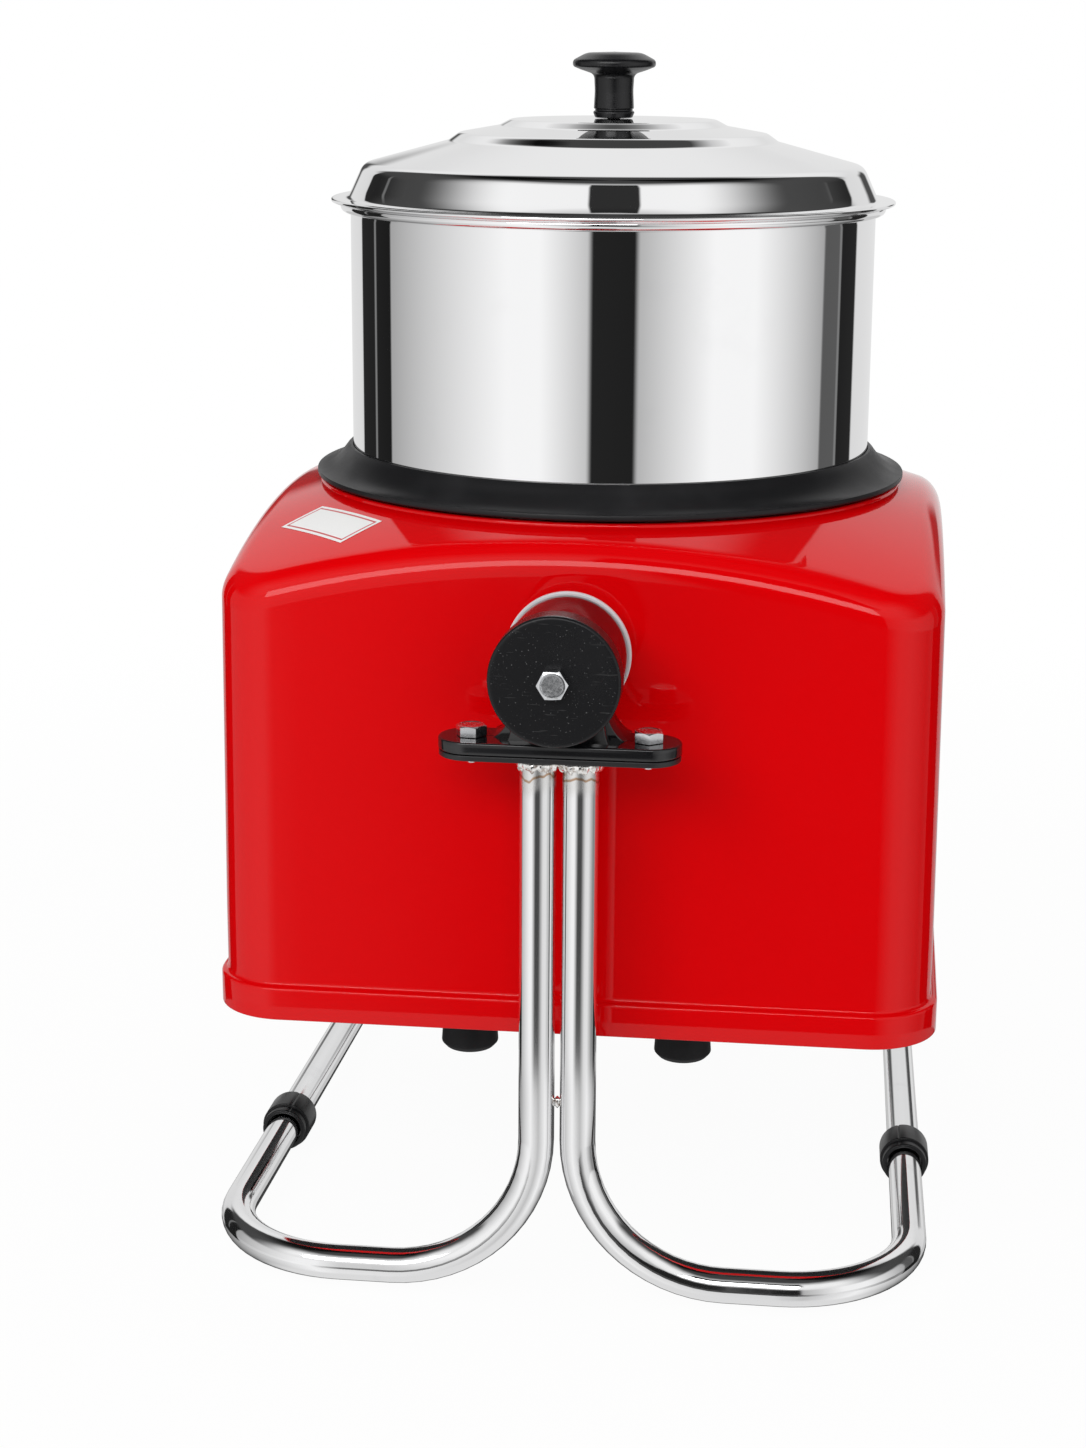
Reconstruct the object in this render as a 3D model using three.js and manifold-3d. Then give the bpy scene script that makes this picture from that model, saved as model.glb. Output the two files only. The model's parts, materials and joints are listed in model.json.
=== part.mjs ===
// Tilting wet grinder, in millimetres
// X runs to the right, Y to the back and Z up; the floor is at zero and the drum turns about the Z axis.
// A red body with a granite-bedded drum hangs on two trunnions in a stand of bent tubes and tips sideways.

import * as THREE from 'three';
import { mergeVertices } from 'three/addons/utils/BufferGeometryUtils.js';
import Module from 'manifold-3d';

const wasm = await Module();
wasm.setup();

// Driving dimensions of the whole grinder
const drumRadius = 125;
const drumDepth = 129.2;
const bodyMargin = 38;
const bodyHeight = 221;
const skirtHeight = 113;
const tubeRadius = 7.94;

// Heights and reaches that every group follows
const drumLift = 11;
const trunnionDrop = 42.3;
const bodyHalfWidth = drumRadius + bodyMargin;
const deckHeight = skirtHeight + bodyHeight;
const drumFloorHeight = deckHeight + drumLift;
const drumTopHeight = drumFloorHeight + drumDepth;
const trunnionHeight = deckHeight - trunnionDrop;

// Clearances
const seatGap = 0.3;
const runningGap = 0.06;
const turningGap = 1.2;
const overrun = 2;
const mergeDistance = 0.0005;

// Stand tubes
const tubeWall = 1.2;
const legSpacing = 18.4;
const footBendRadius = 66;
const cornerBendRadius = 58;
const legStandoff = 39;
const loopInset = 4;
const runTaper = 8;
const legPlane = bodyHalfWidth + legStandoff;
const floorHalfWidth = bodyHalfWidth - loopInset;
const rearHalfWidth = floorHalfWidth - runTaper;

// Sleeves on the side runs
const sleeveRadius = 12.3;
const sleeveFlat = 0.5;
const sleeveLength = 17;
const sleeveCollarRadius = 10.6;
const sleeveCollarLength = 6;
const sleeveEdge = 1.2;
const frontSleeveSetback = 154;
const rearSleeveSetback = 12.5;

// End caps
const capRadius = 28.2;
const capThickness = 12.6;
const capRound = 2.4;
const capRecess = 4;
const capClearance = 1.8;

// Bearing blocks
const blockBoltSpacing = 76;
const boltClearance = 0.4;
const flangeHalfDepth = 14;
const flangeEar = 14.3;
const flangeThickness = 5.4;
const flangeHalfLength = blockBoltSpacing / 2 + flangeEar;
const flangeDrop = capRadius + capClearance + flangeThickness;
const housingInset = 1.7;
const housingGap = 11.3;
const housingLength = 38.4;
const housingRadius = capRadius - housingInset;
const housingInner = bodyHalfWidth + housingGap;
const housingOuter = housingInner + housingLength;
const webHalfLength = 29.4;
const webHalfDepth = 10.5;
const webRise = 22;
const webThroat = 20;

// Top plates of the stand
const plateInset = 1.4;
const plateThickness = 2.4;

// Trunnions
const shaftRadius = 10;
const shaftShoulder = 4;
const shoulderRadius = shaftRadius + shaftShoulder;
const bushWall = 4;
const bushLip = 1.5;
const washerInset = 0.6;
const washerRadius = capRadius - washerInset;
const washerThickness = 3;
const shaftFlangeRadius = 24;
const shaftFlangeThickness = 4;

// M8 hex bolts
const boltRadius = 4;
const hexAcrossFlats = 12.7;
const hexHeight = 5.3;
const hexChamfer = 0.7;
const boltWasherRadius = 8;
const boltWasherThickness = 1.2;
const nutHeight = 4;
const boltEndLength = 2.6;
const capBoltGrip = 18;

// Body shell
const bodyCorner = 29;
const bodyDraft = 1;
const bodyWall = 3;
const skirtStep = 3;
const skirtBand = 16;
const skirtRound = 1.6;
const topEdgeRise = 1;
const topEdgeHeight = deckHeight + topEdgeRise;
const domeRadius = 531;
const topFillet = 9;
const bossSpread = 16;
const bossRise = 9.2;
const bossRim = 4.5;
const bossRadius = drumRadius + bossSpread;
const bossHeight = deckHeight + bossRise;
const deckSlope = 2.5;
const deckHoleGap = 3;

// Base plate and feet
const basePlateThickness = 2.5;
const basePlateRaise = 2;
const slotHalfLength = 26;
const slotRadius = 2.5;
const slotPitch = 17;
const slotInset = 58;
const footSideInset = 113;
const footEndInset = 35;
const slotPlaceX = bodyHalfWidth - slotInset;
const footPlaceX = bodyHalfWidth - footSideInset;
const footPlaceY = bodyHalfWidth - footEndInset;
const footRadius = 13.3;
const footTaper = 1.2;
const footHeight = 22;

// Centre post, hollow spindle and bearings, each round the one before
const postRadius = 8;
const postClearance = 1.4;
const spindleWall = 5.6;
const bearingWall = 12.5;
const bearingWidth = 13;
const spindleFlangeRadius = 52;
const spindleFlangeThickness = 3.6;
const spindleTail = 2.5;
const spindleBore = postRadius + postClearance;
const spindleRadius = spindleBore + spindleWall;
const bearingRadius = spindleRadius + bearingWall;

// Spindle housing
const housingWall = 3.5;
const housingBodyWall = 3;
const housingFlange = 12;
const housingFlangeThickness = 5;
const housingRise = 4;
const housingDepth = 76;
const housingLip = 3;
const housingNeckRadius = bearingRadius + housingWall;
const housingBodyRadius = housingNeckRadius + housingBodyWall;
const housingFlangeRadius = housingNeckRadius + housingFlange;
const housingTop = deckHeight + housingRise;
const housingFoot = housingTop - housingDepth;
const deckHoleRadius = housingNeckRadius + deckHoleGap;

// Cradle
const cradleHalfWidth = 32;
const cradleInset = 13;
const cradleHalfLength = bodyHalfWidth - cradleInset;
const cradleThickness = 5;
const cradleEar = 1;
const cradleTopWidth = housingFlangeRadius + cradleEar;
const cradleBend = 9;

// Motor
const motorRadius = 46;
const motorFlange = 3;
const motorFlangeThickness = 5;
const motorSpace = 4;
const motorShieldThickness = 6;
const motorShieldShare = 0.25;
const windingDepth = 15;
const rotorGap = 0.6;
const rotorCoreInset = 3;
const motorShaftRadius = 6;
const motorShaftFoot = 3;
const motorFlangeRadius = motorRadius + motorFlange;
const motorOffset = cradleHalfLength - cradleThickness - motorSpace - motorFlangeRadius;
const windingRadius = motorRadius - motorShieldThickness;
const statorBore = windingRadius - windingDepth;
const fanInset = 9;
const fanRadius = motorRadius - fanInset;
const fanHubRadius = 11;
const fanHeight = 10;
const fanDisc = 2;
const fanBlade = 2;
const fanRaise = 4;
const fanSpace = 14.4;
const capacitorRadius = 17.5;
const capacitorHeight = 60;
const capacitorCrimp = 1.5;

// Belt drive
const motorPulleyRadius = 9;
const pulleyRim = 3;
const pulleyWidth = 14;
const pulleyFlange = 1.5;
const pulleyWeb = 5;
const pulleyRimWall = 5;
const pulleyHubWall = 7;
const pulleyHubHeight = 18;
const pulleyDrop = 4.5;
const pulleySpace = 5;
const pulleyHubRadius = spindleRadius + pulleyHubWall;
const drivenPulleyRadius = motorOffset - motorPulleyRadius - 2 * pulleyRim - pulleySpace;
const pulleyFoot = housingFoot - pulleyDrop - pulleyHubHeight;
const spindleFoot = pulleyFoot - spindleTail;
const beltThickness = 3;
const beltGap = 0.5;

// Skirt ring at the foot of the drum
const ringSpread = 17.4;
const ringHeight = 13.8;
const ringRadius = drumRadius + ringSpread;
const ringFoot = bossHeight + turningGap;
const ringTop = ringFoot + ringHeight;
const ringLip = 2.6;
const ringWing = 2.2;
const ringCuff = 1.8;
const ringFlareShares = [[0, 1], [0.25, 0.55], [0.62, 0.2], [1, 0]];

// Drum
const drumWall = 0.9;
const drumFootRound = 5;
const beadRadius = 2.6;
const beadTurnShares = [-0.7, -0.35, 0, 0.5, 0.75, 1];
const centreTubeGap = 2.5;
const centreTubeDrop = 51.2;
const centreTubeRadius = spindleRadius + centreTubeGap;
const centreTubeHeight = drumDepth - centreTubeDrop;

// Granite
const bedInset = 6;
const bedHoleGap = 3;
const bedRadius = drumRadius - bedInset;
const bedHoleRadius = centreTubeRadius + bedHoleGap;
const bedThickness = 20;
const bedChamfer = 2;
const rollerInset = 13;
const rollerStart = 40;
const rollerEnd = drumRadius - rollerInset;
const rollerChamfer = 2;
const rollerSineShare = 0.4;

// Roller holder
const postDrop = 22.2;
const postHeight = drumTopHeight - postDrop;
const postFlangeRadius = 20;
const postFlangeThickness = 6;
const hubWall = 4.5;
const hubLift = 4;
const hubRoof = 6;
const axleRadius = 6;
const axleCollarRadius = 10;
const axleCollar = 4;
const scraperThickness = 4;
const scraperWidth = 16;
const scraperInset = 5;
const scraperReach = drumRadius - scraperInset;
const scraperBlade = 24;
const scraperLift = 3;
const knobRadius = 17;
const knobHeight = 16;
const knobWaist = 3;

// Lid
const lidWall = 0.8;
const lidRimSpread = 9.2;
const lidRimCurl = 1.6;
const lidWallInset = 0.6;
const lidWallRise = 3.7;
const lidWallLean = 5.4;
const lidRimRadius = drumRadius + lidRimSpread;
const lidWallFoot = drumRadius - lidWallInset;
const lidShoulderRadius = lidWallFoot - lidWallLean;
const lidShoulderRise = 15.2;
const lidShoulderRound = 3.4;
const outerStepRadius = 77.3;
const outerStepWidth = 3.9;
const outerStepRise = 27.3;
const outerStepHeight = 2.5;
const innerStepRadius = 55;
const innerStepWidth = 6.5;
const innerStepRise = 34.3;
const innerStepHeight = 2.1;
const lidCrownRise = 37;
const lidHoleRadius = 3.2;

// Lid knob
const knobStemRadius = 9.5;
const knobStemWaist = 0.4;
const knobGroove = 0.7;
const knobFootRadius = 8.8;
const knobFootFlare = 1.1;
const knobFootRise = 2.7;
const lidKnobRadius = 19.6;
const lidKnobUnderside = 21.2;
const lidKnobEdge = 24.6;
const lidKnobTop = 30.3;
const lidKnobRound = 1.4;
const lidKnobSpigot = 8;

// Switch and cable gland, low on the left and the back
const switchRise = 65;
const switchInset = 103;
const switchHeight = skirtHeight + switchRise;
const switchPlace = bodyHalfWidth - switchInset;
const bezelHalfWidth = 15;
const bezelHalfHeight = 11;
const bezelLip = 2.2;
const bezelThickness = 1.4;
const bezelDepth = 14;
const bezelWall = 1.4;
const rockerRise = 3.4;
const rockerFlush = 1.2;
const rockerTaper = 2;
const rockerDepth = 6;
const glandRise = 37;
const glandInset = 71;
const glandHeight = skirtHeight + glandRise;
const glandPlace = bodyHalfWidth - glandInset;
const glandRadius = 9;
const glandHexRadius = 12;
const glandHex = 4;
const glandLength = 11;
const glandInside = 9;
const glandBore = 3.6;

// Counts
const tubeSides = 10;
const boreSides = 5;
const bendSteps = 5;
const smallSides = 12;
const mediumSides = 14;
const shownSides = 20;
const largeSides = 24;
const sideStations = 3;
const cornerStations = 4;
const outerDomeSteps = 2;
const innerDomeSteps = 1;
const outerFilletSteps = 3;
const innerFilletSteps = 1;
const hexSides = 6;
const arcSteps = 3;
const slotArcSteps = 1;
const beltSteps = 7;
const fanBlades = 5;
const slotCount = 4;

// Colours, roughness and metalness
const finishes = {
  stainless: { color: 0xd9dadb, roughness: 0.12, metalness: 1 },
  zinc: { color: 0xc4c6c8, roughness: 0.3, metalness: 1 },
  steel: { color: 0x8d9196, roughness: 0.4, metalness: 1 },
  blackSteel: { color: 0x1b1b1c, roughness: 0.35, metalness: 0.2 },
  redPlastic: { color: 0xd3050b, roughness: 0.1, metalness: 0 },
  blackPlastic: { color: 0x161617, roughness: 0.3, metalness: 0 },
  paleNylon: { color: 0xd8d2d6, roughness: 0.45, metalness: 0 },
  bronze: { color: 0x9c7443, roughness: 0.4, metalness: 1 },
  rubber: { color: 0x1c1c1d, roughness: 0.75, metalness: 0 },
  granite: { color: 0x55565a, roughness: 0.55, metalness: 0 },
  aluminium: { color: 0xaeb2b6, roughness: 0.38, metalness: 1 }
};

// Closed geometry as a solid, turned right side out
function solidOf(geometry) {
  const bare = new THREE.BufferGeometry();
  bare.setAttribute('position', geometry.getAttribute('position'));
  bare.setIndex(geometry.index);
  const merged = mergeVertices(bare, mergeDistance);
  const position = merged.getAttribute('position');
  const index = merged.index.array;
  const a = new THREE.Vector3();
  const b = new THREE.Vector3();
  const c = new THREE.Vector3();
  const triangles = [];
  let volume = 0;
  for (let i = 0; i < index.length; i += 3) {
    const [p, q, r] = [index[i], index[i + 1], index[i + 2]];
    if (p === q || q === r || r === p) continue;
    triangles.push([p, q, r]);
    a.fromBufferAttribute(position, p);
    b.fromBufferAttribute(position, q);
    c.fromBufferAttribute(position, r);
    volume += a.dot(b.cross(c));
  }
  const outward = volume > 0 ? triangles : triangles.map(([p, q, r]) => [p, r, q]);
  const vertProperties = new Float32Array(position.array);
  const triVerts = new Uint32Array(outward.flat());
  return new wasm.Manifold(new wasm.Mesh({ numProp: 3, vertProperties, triVerts }));
}

// A solid's surface as geometry
function surfaceOf(solid) {
  const mesh = solid.getMesh();
  const geometry = new THREE.BufferGeometry();
  geometry.setAttribute('position', new THREE.BufferAttribute(mesh.vertProperties, mesh.numProp));
  geometry.setIndex(new THREE.BufferAttribute(mesh.triVerts, 1));
  return geometry;
}

function join(...parts) {
  return surfaceOf(parts.map(solidOf).reduce((whole, part) => whole.add(part)));
}

function cut(base, ...tools) {
  return surfaceOf(tools.map(solidOf).reduce((whole, tool) => whole.subtract(tool), solidOf(base)));
}

// A profile of [radius, height] points turned about the Z axis
function turned(profile, sides) {
  const points = profile.map(([radius, height]) => new THREE.Vector2(radius, height));
  const onAxis = profile[0][0] === 0 && profile[profile.length - 1][0] === 0;
  if (!onAxis) points.push(points[0].clone());
  return surfaceOf(solidOf(new THREE.LatheGeometry(points, sides).rotateX(Math.PI / 2)));
}

// A turned cylinder from a low height to a high one
function disc(radius, low, high, sides) {
  return turned([[0, low], [radius, low], [radius, high], [0, high]], sides);
}

function tubeRing(inner, outer, low, high, sides) {
  return turned([[inner, low], [outer, low], [outer, high], [inner, high]], sides);
}

// The corner radius of a faceted bore whose flats clear a shaft by a gap
function boreFor(radius, gap, sides) {
  return (radius + gap) / Math.cos(Math.PI / sides);
}

function extruded(outline, depth, curveSegments = arcSteps) {
  return new THREE.ExtrudeGeometry(outline, { depth, bevelEnabled: false, curveSegments });
}

function block(sizeX, sizeY, sizeZ, x, y, z) {
  return new THREE.BoxGeometry(sizeX, sizeY, sizeZ).translate(x, y, z);
}

// A rectangle with rounded corners, about the origin
function roundedRectangle(halfX, halfY, corner) {
  const shape = new THREE.Shape();
  shape.absarc(halfX - corner, halfY - corner, corner, 0, Math.PI / 2);
  shape.absarc(corner - halfX, halfY - corner, corner, Math.PI / 2, Math.PI);
  shape.absarc(corner - halfX, corner - halfY, corner, Math.PI, 1.5 * Math.PI);
  shape.absarc(halfX - corner, corner - halfY, corner, 1.5 * Math.PI, 2 * Math.PI);
  shape.closePath();
  return shape;
}

function piece(name, geometry, finish, parent) {
  const mesh = new THREE.Mesh(geometry, new THREE.MeshStandardMaterial(finishes[finish]));
  mesh.name = name;
  parent.add(mesh);
  return mesh;
}

// The centre line of a bent tube: straight runs between corners, with an arc at each inner corner.
// Its even steps fall on the ends of the straight runs and on the arcs.
class BentLine extends THREE.Curve {
  constructor(corners, radii) {
    super();
    this.stations = [{ point: corners[0], tangent: corners[1].clone().sub(corners[0]).normalize() }];
    for (let k = 1; k < corners.length - 1; k += 1) {
      this.addBend(corners[k - 1], corners[k], corners[k + 1], radii[k - 1]);
    }
    const last = corners[corners.length - 1];
    const tangent = last.clone().sub(corners[corners.length - 2]).normalize();
    this.stations.push({ point: last, tangent });
  }

  addBend(before, corner, after, radius) {
    const ahead = corner.clone().sub(before).normalize();
    const beyond = after.clone().sub(corner).normalize();
    const turn = ahead.angleTo(beyond);
    const inward = beyond.clone().addScaledVector(ahead, -ahead.dot(beyond)).normalize();
    const start = corner.clone().addScaledVector(ahead, -radius * Math.tan(turn / 2));
    for (let step = 0; step <= bendSteps; step += 1) {
      const angle = turn * step / bendSteps;
      const point = start.clone()
        .addScaledVector(ahead, radius * Math.sin(angle))
        .addScaledVector(inward, radius * (1 - Math.cos(angle)));
      const tangent = ahead.clone().multiplyScalar(Math.cos(angle)).addScaledVector(inward, Math.sin(angle));
      this.stations.push({ point, tangent });
    }
  }

  get steps() {
    return this.stations.length - 1;
  }

  blend(share, key) {
    const place = Math.min(share, 1) * this.steps;
    const k = Math.min(Math.floor(place), this.steps - 1);
    return this.stations[k][key].clone().lerp(this.stations[k + 1][key], place - k);
  }

  getPointAt(share) {
    return this.blend(share, 'point');
  }

  getTangentAt(share) {
    return this.blend(share, 'tangent').normalize();
  }
}

// Stand

const tubeHeight = sleeveRadius - sleeveFlat;
const plateTop = trunnionHeight - flangeDrop - seatGap;
const tubeTop = plateTop - plateThickness - seatGap;

function ringPoints(radius, sides) {
  return [...Array(sides).keys()].map((k) => {
    const angle = 2 * Math.PI * k / sides;
    return new THREE.Vector2(radius * Math.cos(angle), radius * Math.sin(angle));
  });
}

// One tube: down a front leg, round the floor loop, along the side and up the rear leg
function standTube(side) {
  const legX = side * legSpacing / 2;
  const corners = [
    new THREE.Vector3(legX, -legPlane, tubeTop),
    new THREE.Vector3(legX, -legPlane, tubeHeight),
    new THREE.Vector3(side * floorHalfWidth, -legPlane, tubeHeight),
    new THREE.Vector3(side * rearHalfWidth, legPlane, tubeHeight),
    new THREE.Vector3(legX, legPlane, tubeHeight),
    new THREE.Vector3(legX, legPlane, tubeTop)
  ];
  const radii = [footBendRadius, cornerBendRadius, cornerBendRadius, footBendRadius];
  const path = new BentLine(corners, radii);
  const section = new THREE.Shape(ringPoints(tubeRadius, tubeSides));
  section.holes.push(new THREE.Path(ringPoints(tubeRadius - tubeWall, boreSides)));
  const swept = new THREE.ExtrudeGeometry(section, { steps: path.steps, extrudePath: path });
  return surfaceOf(solidOf(swept));
}

// A moulded sleeve about the Y axis, its collar to the front and a flat to stand on
function sleeve() {
  const bore = boreFor(tubeRadius, seatGap, tubeSides);
  const end = sleeveLength + sleeveCollarLength;
  const profile = [
    [bore, 0],
    [sleeveCollarRadius, 0],
    [sleeveCollarRadius, sleeveCollarLength],
    [sleeveRadius - sleeveEdge, sleeveCollarLength],
    [sleeveRadius, sleeveCollarLength + sleeveEdge],
    [sleeveRadius, end - sleeveEdge],
    [sleeveRadius - sleeveEdge, end],
    [bore, end]
  ];
  const body = turned(profile, mediumSides).rotateX(-Math.PI / 2).translate(0, -end / 2, 0);
  const underside = block(2 * sleeveRadius, end + 2 * overrun, sleeveRadius,
    0, 0, -tubeHeight - sleeveRadius / 2);
  return cut(body, underside);
}

function addSleeves(parent) {
  const lean = Math.atan2(floorHalfWidth - rearHalfWidth, 2 * legPlane);
  const frontPlace = frontSleeveSetback - legPlane;
  const rearPlace = legPlane - cornerBendRadius - rearSleeveSetback;
  for (const [end, place] of [['front', frontPlace], ['rear', rearPlace]]) {
    for (const [name, side] of [['left', -1], ['right', 1]]) {
      const reach = floorHalfWidth - (place + legPlane) * Math.tan(lean);
      const mesh = piece(`${end}_${name}_sleeve`, sleeve(), 'blackPlastic', parent);
      mesh.position.set(side * reach, place, tubeHeight);
      mesh.rotation.z = side * lean;
    }
  }
}

// A hex head with its top chamfered, standing on height zero
function hexHead(height) {
  const reach = hexAcrossFlats / Math.sqrt(3);
  return turned([[0, 0], [reach, 0], [reach, height - hexChamfer], [reach - hexChamfer, height], [0, height]],
    hexSides);
}

// The trunnion parts of one end, built for the front; the rear group is turned half round
function trunnionEnd(end, stand, body) {
  const standEnd = new THREE.Group();
  const bodyEnd = new THREE.Group();
  if (end === 'rear') {
    standEnd.rotation.z = Math.PI;
    bodyEnd.rotation.z = Math.PI;
  }
  stand.add(standEnd);
  body.add(bodyEnd);
  addTopPlate(end, standEnd);
  addBearingBlock(end, standEnd);
  addBlockBolts(end, standEnd);
  addTrunnionShaft(end, bodyEnd);
  addEndCap(end, bodyEnd);
}

function boltHoles(low, high) {
  const hole = disc(boltRadius + boltClearance, low, high, smallSides);
  return [hole.clone().translate(-blockBoltSpacing / 2, 0, 0), hole.translate(blockBoltSpacing / 2, 0, 0)];
}

function addTopPlate(end, parent) {
  const plateHalfDepth = flangeHalfDepth - plateInset;
  const outline = roundedRectangle(flangeHalfLength - plateInset, plateHalfDepth, plateHalfDepth);
  const holes = boltHoles(-overrun, plateThickness + overrun);
  const plate = cut(extruded(outline, plateThickness), ...holes);
  piece(`${end}_top_plate`, plate, 'blackSteel', parent)
    .position.set(0, -legPlane, plateTop - plateThickness);
}

// A pillow block: a flange with two ears, a round housing and concave webs between them
function addBearingBlock(end, parent) {
  const outline = roundedRectangle(flangeHalfLength, flangeHalfDepth, flangeHalfDepth);
  const flange = extruded(outline, flangeThickness).translate(0, -legPlane, -flangeDrop);
  const length = housingOuter - housingInner;
  const barrel = disc(housingRadius, 0, length, mediumSides)
    .rotateX(Math.PI / 2).translate(0, -housingInner, 0);
  const webFoot = flangeThickness - flangeDrop;
  const webOutline = new THREE.Shape();
  webOutline.moveTo(-webHalfLength, webFoot);
  webOutline.quadraticCurveTo(-webThroat, webFoot, -webThroat, webFoot + webRise);
  webOutline.lineTo(webThroat, webFoot + webRise);
  webOutline.quadraticCurveTo(webThroat, webFoot, webHalfLength, webFoot);
  webOutline.lineTo(webHalfLength, webFoot - flangeThickness / 2);
  webOutline.lineTo(-webHalfLength, webFoot - flangeThickness / 2);
  webOutline.closePath();
  const web = extruded(webOutline, 2 * webHalfDepth).rotateX(Math.PI / 2)
    .translate(0, webHalfDepth - legPlane, 0);
  const bore = boreFor(shaftRadius + bushWall, seatGap, mediumSides);
  const reamer = disc(bore, -overrun, length + overrun, mediumSides)
    .rotateX(Math.PI / 2).translate(0, -housingInner, 0);
  const holes = boltHoles(-flangeDrop - overrun, -flangeDrop + flangeThickness + overrun)
    .map((hole) => hole.translate(0, -legPlane, 0));
  const casting = cut(join(flange, web, barrel), reamer, ...holes);
  piece(`${end}_bearing_block`, casting, 'blackPlastic', parent).position.z = trunnionHeight;

  const lining = tubeRing(boreFor(shaftRadius, runningGap, mediumSides), shaftRadius + bushWall,
    bushLip, length - bushLip, mediumSides);
  const bush = piece(`${end}_bush`, lining, 'bronze', parent);
  bush.position.set(0, -housingInner, trunnionHeight);
  bush.rotation.x = Math.PI / 2;
}

function addBlockBolts(end, parent) {
  const nutTop = -flangeThickness - seatGap - plateThickness - seatGap;
  const shankFoot = nutTop - nutHeight - boltEndLength;
  const washer = disc(boltWasherRadius, seatGap, boltWasherThickness + seatGap, mediumSides);
  const head = hexHead(hexHeight).translate(0, 0, boltWasherThickness + seatGap / 2);
  const shank = disc(boltRadius, shankFoot, seatGap + boltWasherThickness, smallSides);
  const bolt = join(washer, head, shank);
  const nut = cut(hexHead(nutHeight), disc(boreFor(boltRadius, seatGap, smallSides), -overrun,
    nutHeight + overrun, smallSides));
  const seat = trunnionHeight - flangeDrop + flangeThickness;
  for (const [name, side] of [['left', -1], ['right', 1]]) {
    const x = side * blockBoltSpacing / 2;
    piece(`${end}_${name}_block_bolt`, bolt.clone(), 'zinc', parent).position.set(x, -legPlane, seat);
    piece(`${end}_${name}_block_nut`, nut.clone(), 'zinc', parent)
      .position.set(x, -legPlane, seat + nutTop - nutHeight);
  }
}

// The stub shaft with its welded flange and shoulder, and the pale thrust washer on it.
// Distances run outwards from the middle of the grinder.
function addTrunnionShaft(end, parent) {
  const root = cradleHalfLength + seatGap;
  const shoulderEnd = housingInner - seatGap - washerThickness - seatGap;
  const tip = housingOuter + capRecess - seatGap;
  const profile = [
    [0, root],
    [shaftFlangeRadius, root],
    [shaftFlangeRadius, root + shaftFlangeThickness],
    [shoulderRadius, root + shaftFlangeThickness],
    [shoulderRadius, shoulderEnd],
    [shaftRadius, shoulderEnd],
    [shaftRadius, tip],
    [0, tip]
  ];
  const tapped = disc(boreFor(boltRadius, seatGap, smallSides), tip - capBoltGrip, tip + overrun, smallSides);
  const shaft = piece(`${end}_trunnion_shaft`, cut(turned(profile, mediumSides), tapped), 'steel', parent);
  shaft.position.z = trunnionHeight;
  shaft.rotation.x = Math.PI / 2;

  const ring = tubeRing(boreFor(shaftRadius, seatGap, mediumSides), washerRadius,
    shoulderEnd + seatGap, shoulderEnd + seatGap + washerThickness, mediumSides);
  const washer = piece(`${end}_thrust_washer`, ring, 'paleNylon', parent);
  washer.position.z = trunnionHeight;
  washer.rotation.x = Math.PI / 2;
}

function addEndCap(end, parent) {
  const back = housingOuter + turningGap / 2;
  const front = back + capThickness;
  const socketRadius = boreFor(shaftRadius, seatGap, mediumSides);
  const profile = [
    [socketRadius, back],
    [capRadius, back],
    [capRadius, front - capRound],
    [capRadius - capRound * (1 - Math.SQRT1_2), front - capRound * (1 - Math.SQRT1_2)],
    [capRadius - capRound, front],
    [0, front],
    [0, back + capRecess],
    [socketRadius, back + capRecess]
  ];
  const hole = disc(boltRadius + boltClearance, back, front + overrun, smallSides);
  const cap = piece(`${end}_end_cap`, cut(turned(profile, shownSides), hole), 'blackPlastic', parent);
  cap.position.z = trunnionHeight;
  cap.rotation.x = Math.PI / 2;

  const head = hexHead(hexHeight).translate(0, 0, front + seatGap);
  const shankRoot = housingOuter + capRecess - capBoltGrip + overrun;
  const shank = disc(boltRadius, shankRoot, front + 2 * seatGap, smallSides);
  const bolt = piece(`${end}_cap_bolt`, join(head, shank), 'zinc', parent);
  bolt.position.z = trunnionHeight;
  bolt.rotation.x = Math.PI / 2;
}

// Body shell

// Stations round a rounded square: a share of the way along its side and the outward direction
function squareStations() {
  const stations = [];
  for (let quarter = 0; quarter < 4; quarter += 1) {
    const turn = quarter * Math.PI / 2;
    const along = new THREE.Vector2(-Math.sin(turn), Math.cos(turn));
    const out = new THREE.Vector2(Math.cos(turn), Math.sin(turn));
    for (let k = 0; k < sideStations; k += 1) {
      const share = 2 * k / sideStations - 1;
      stations.push({ centre: out.clone().addScaledVector(along, share), out });
    }
    for (let k = 0; k < cornerStations; k += 1) {
      const angle = turn + k / cornerStations * Math.PI / 2;
      const facing = new THREE.Vector2(Math.cos(angle), Math.sin(angle));
      stations.push({ centre: out.clone().add(along), out: facing });
    }
  }
  return stations;
}

function squarePoint(station, half, corner) {
  return station.centre.clone().multiplyScalar(half - corner).addScaledVector(station.out, corner);
}

// Height of the domed top above a point, from a sphere through the middle of each side edge
function domeHeight(point) {
  const edge = Math.sqrt(domeRadius ** 2 - bodyHalfWidth ** 2);
  return topEdgeHeight - edge + Math.sqrt(domeRadius ** 2 - point.lengthSq());
}

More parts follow.
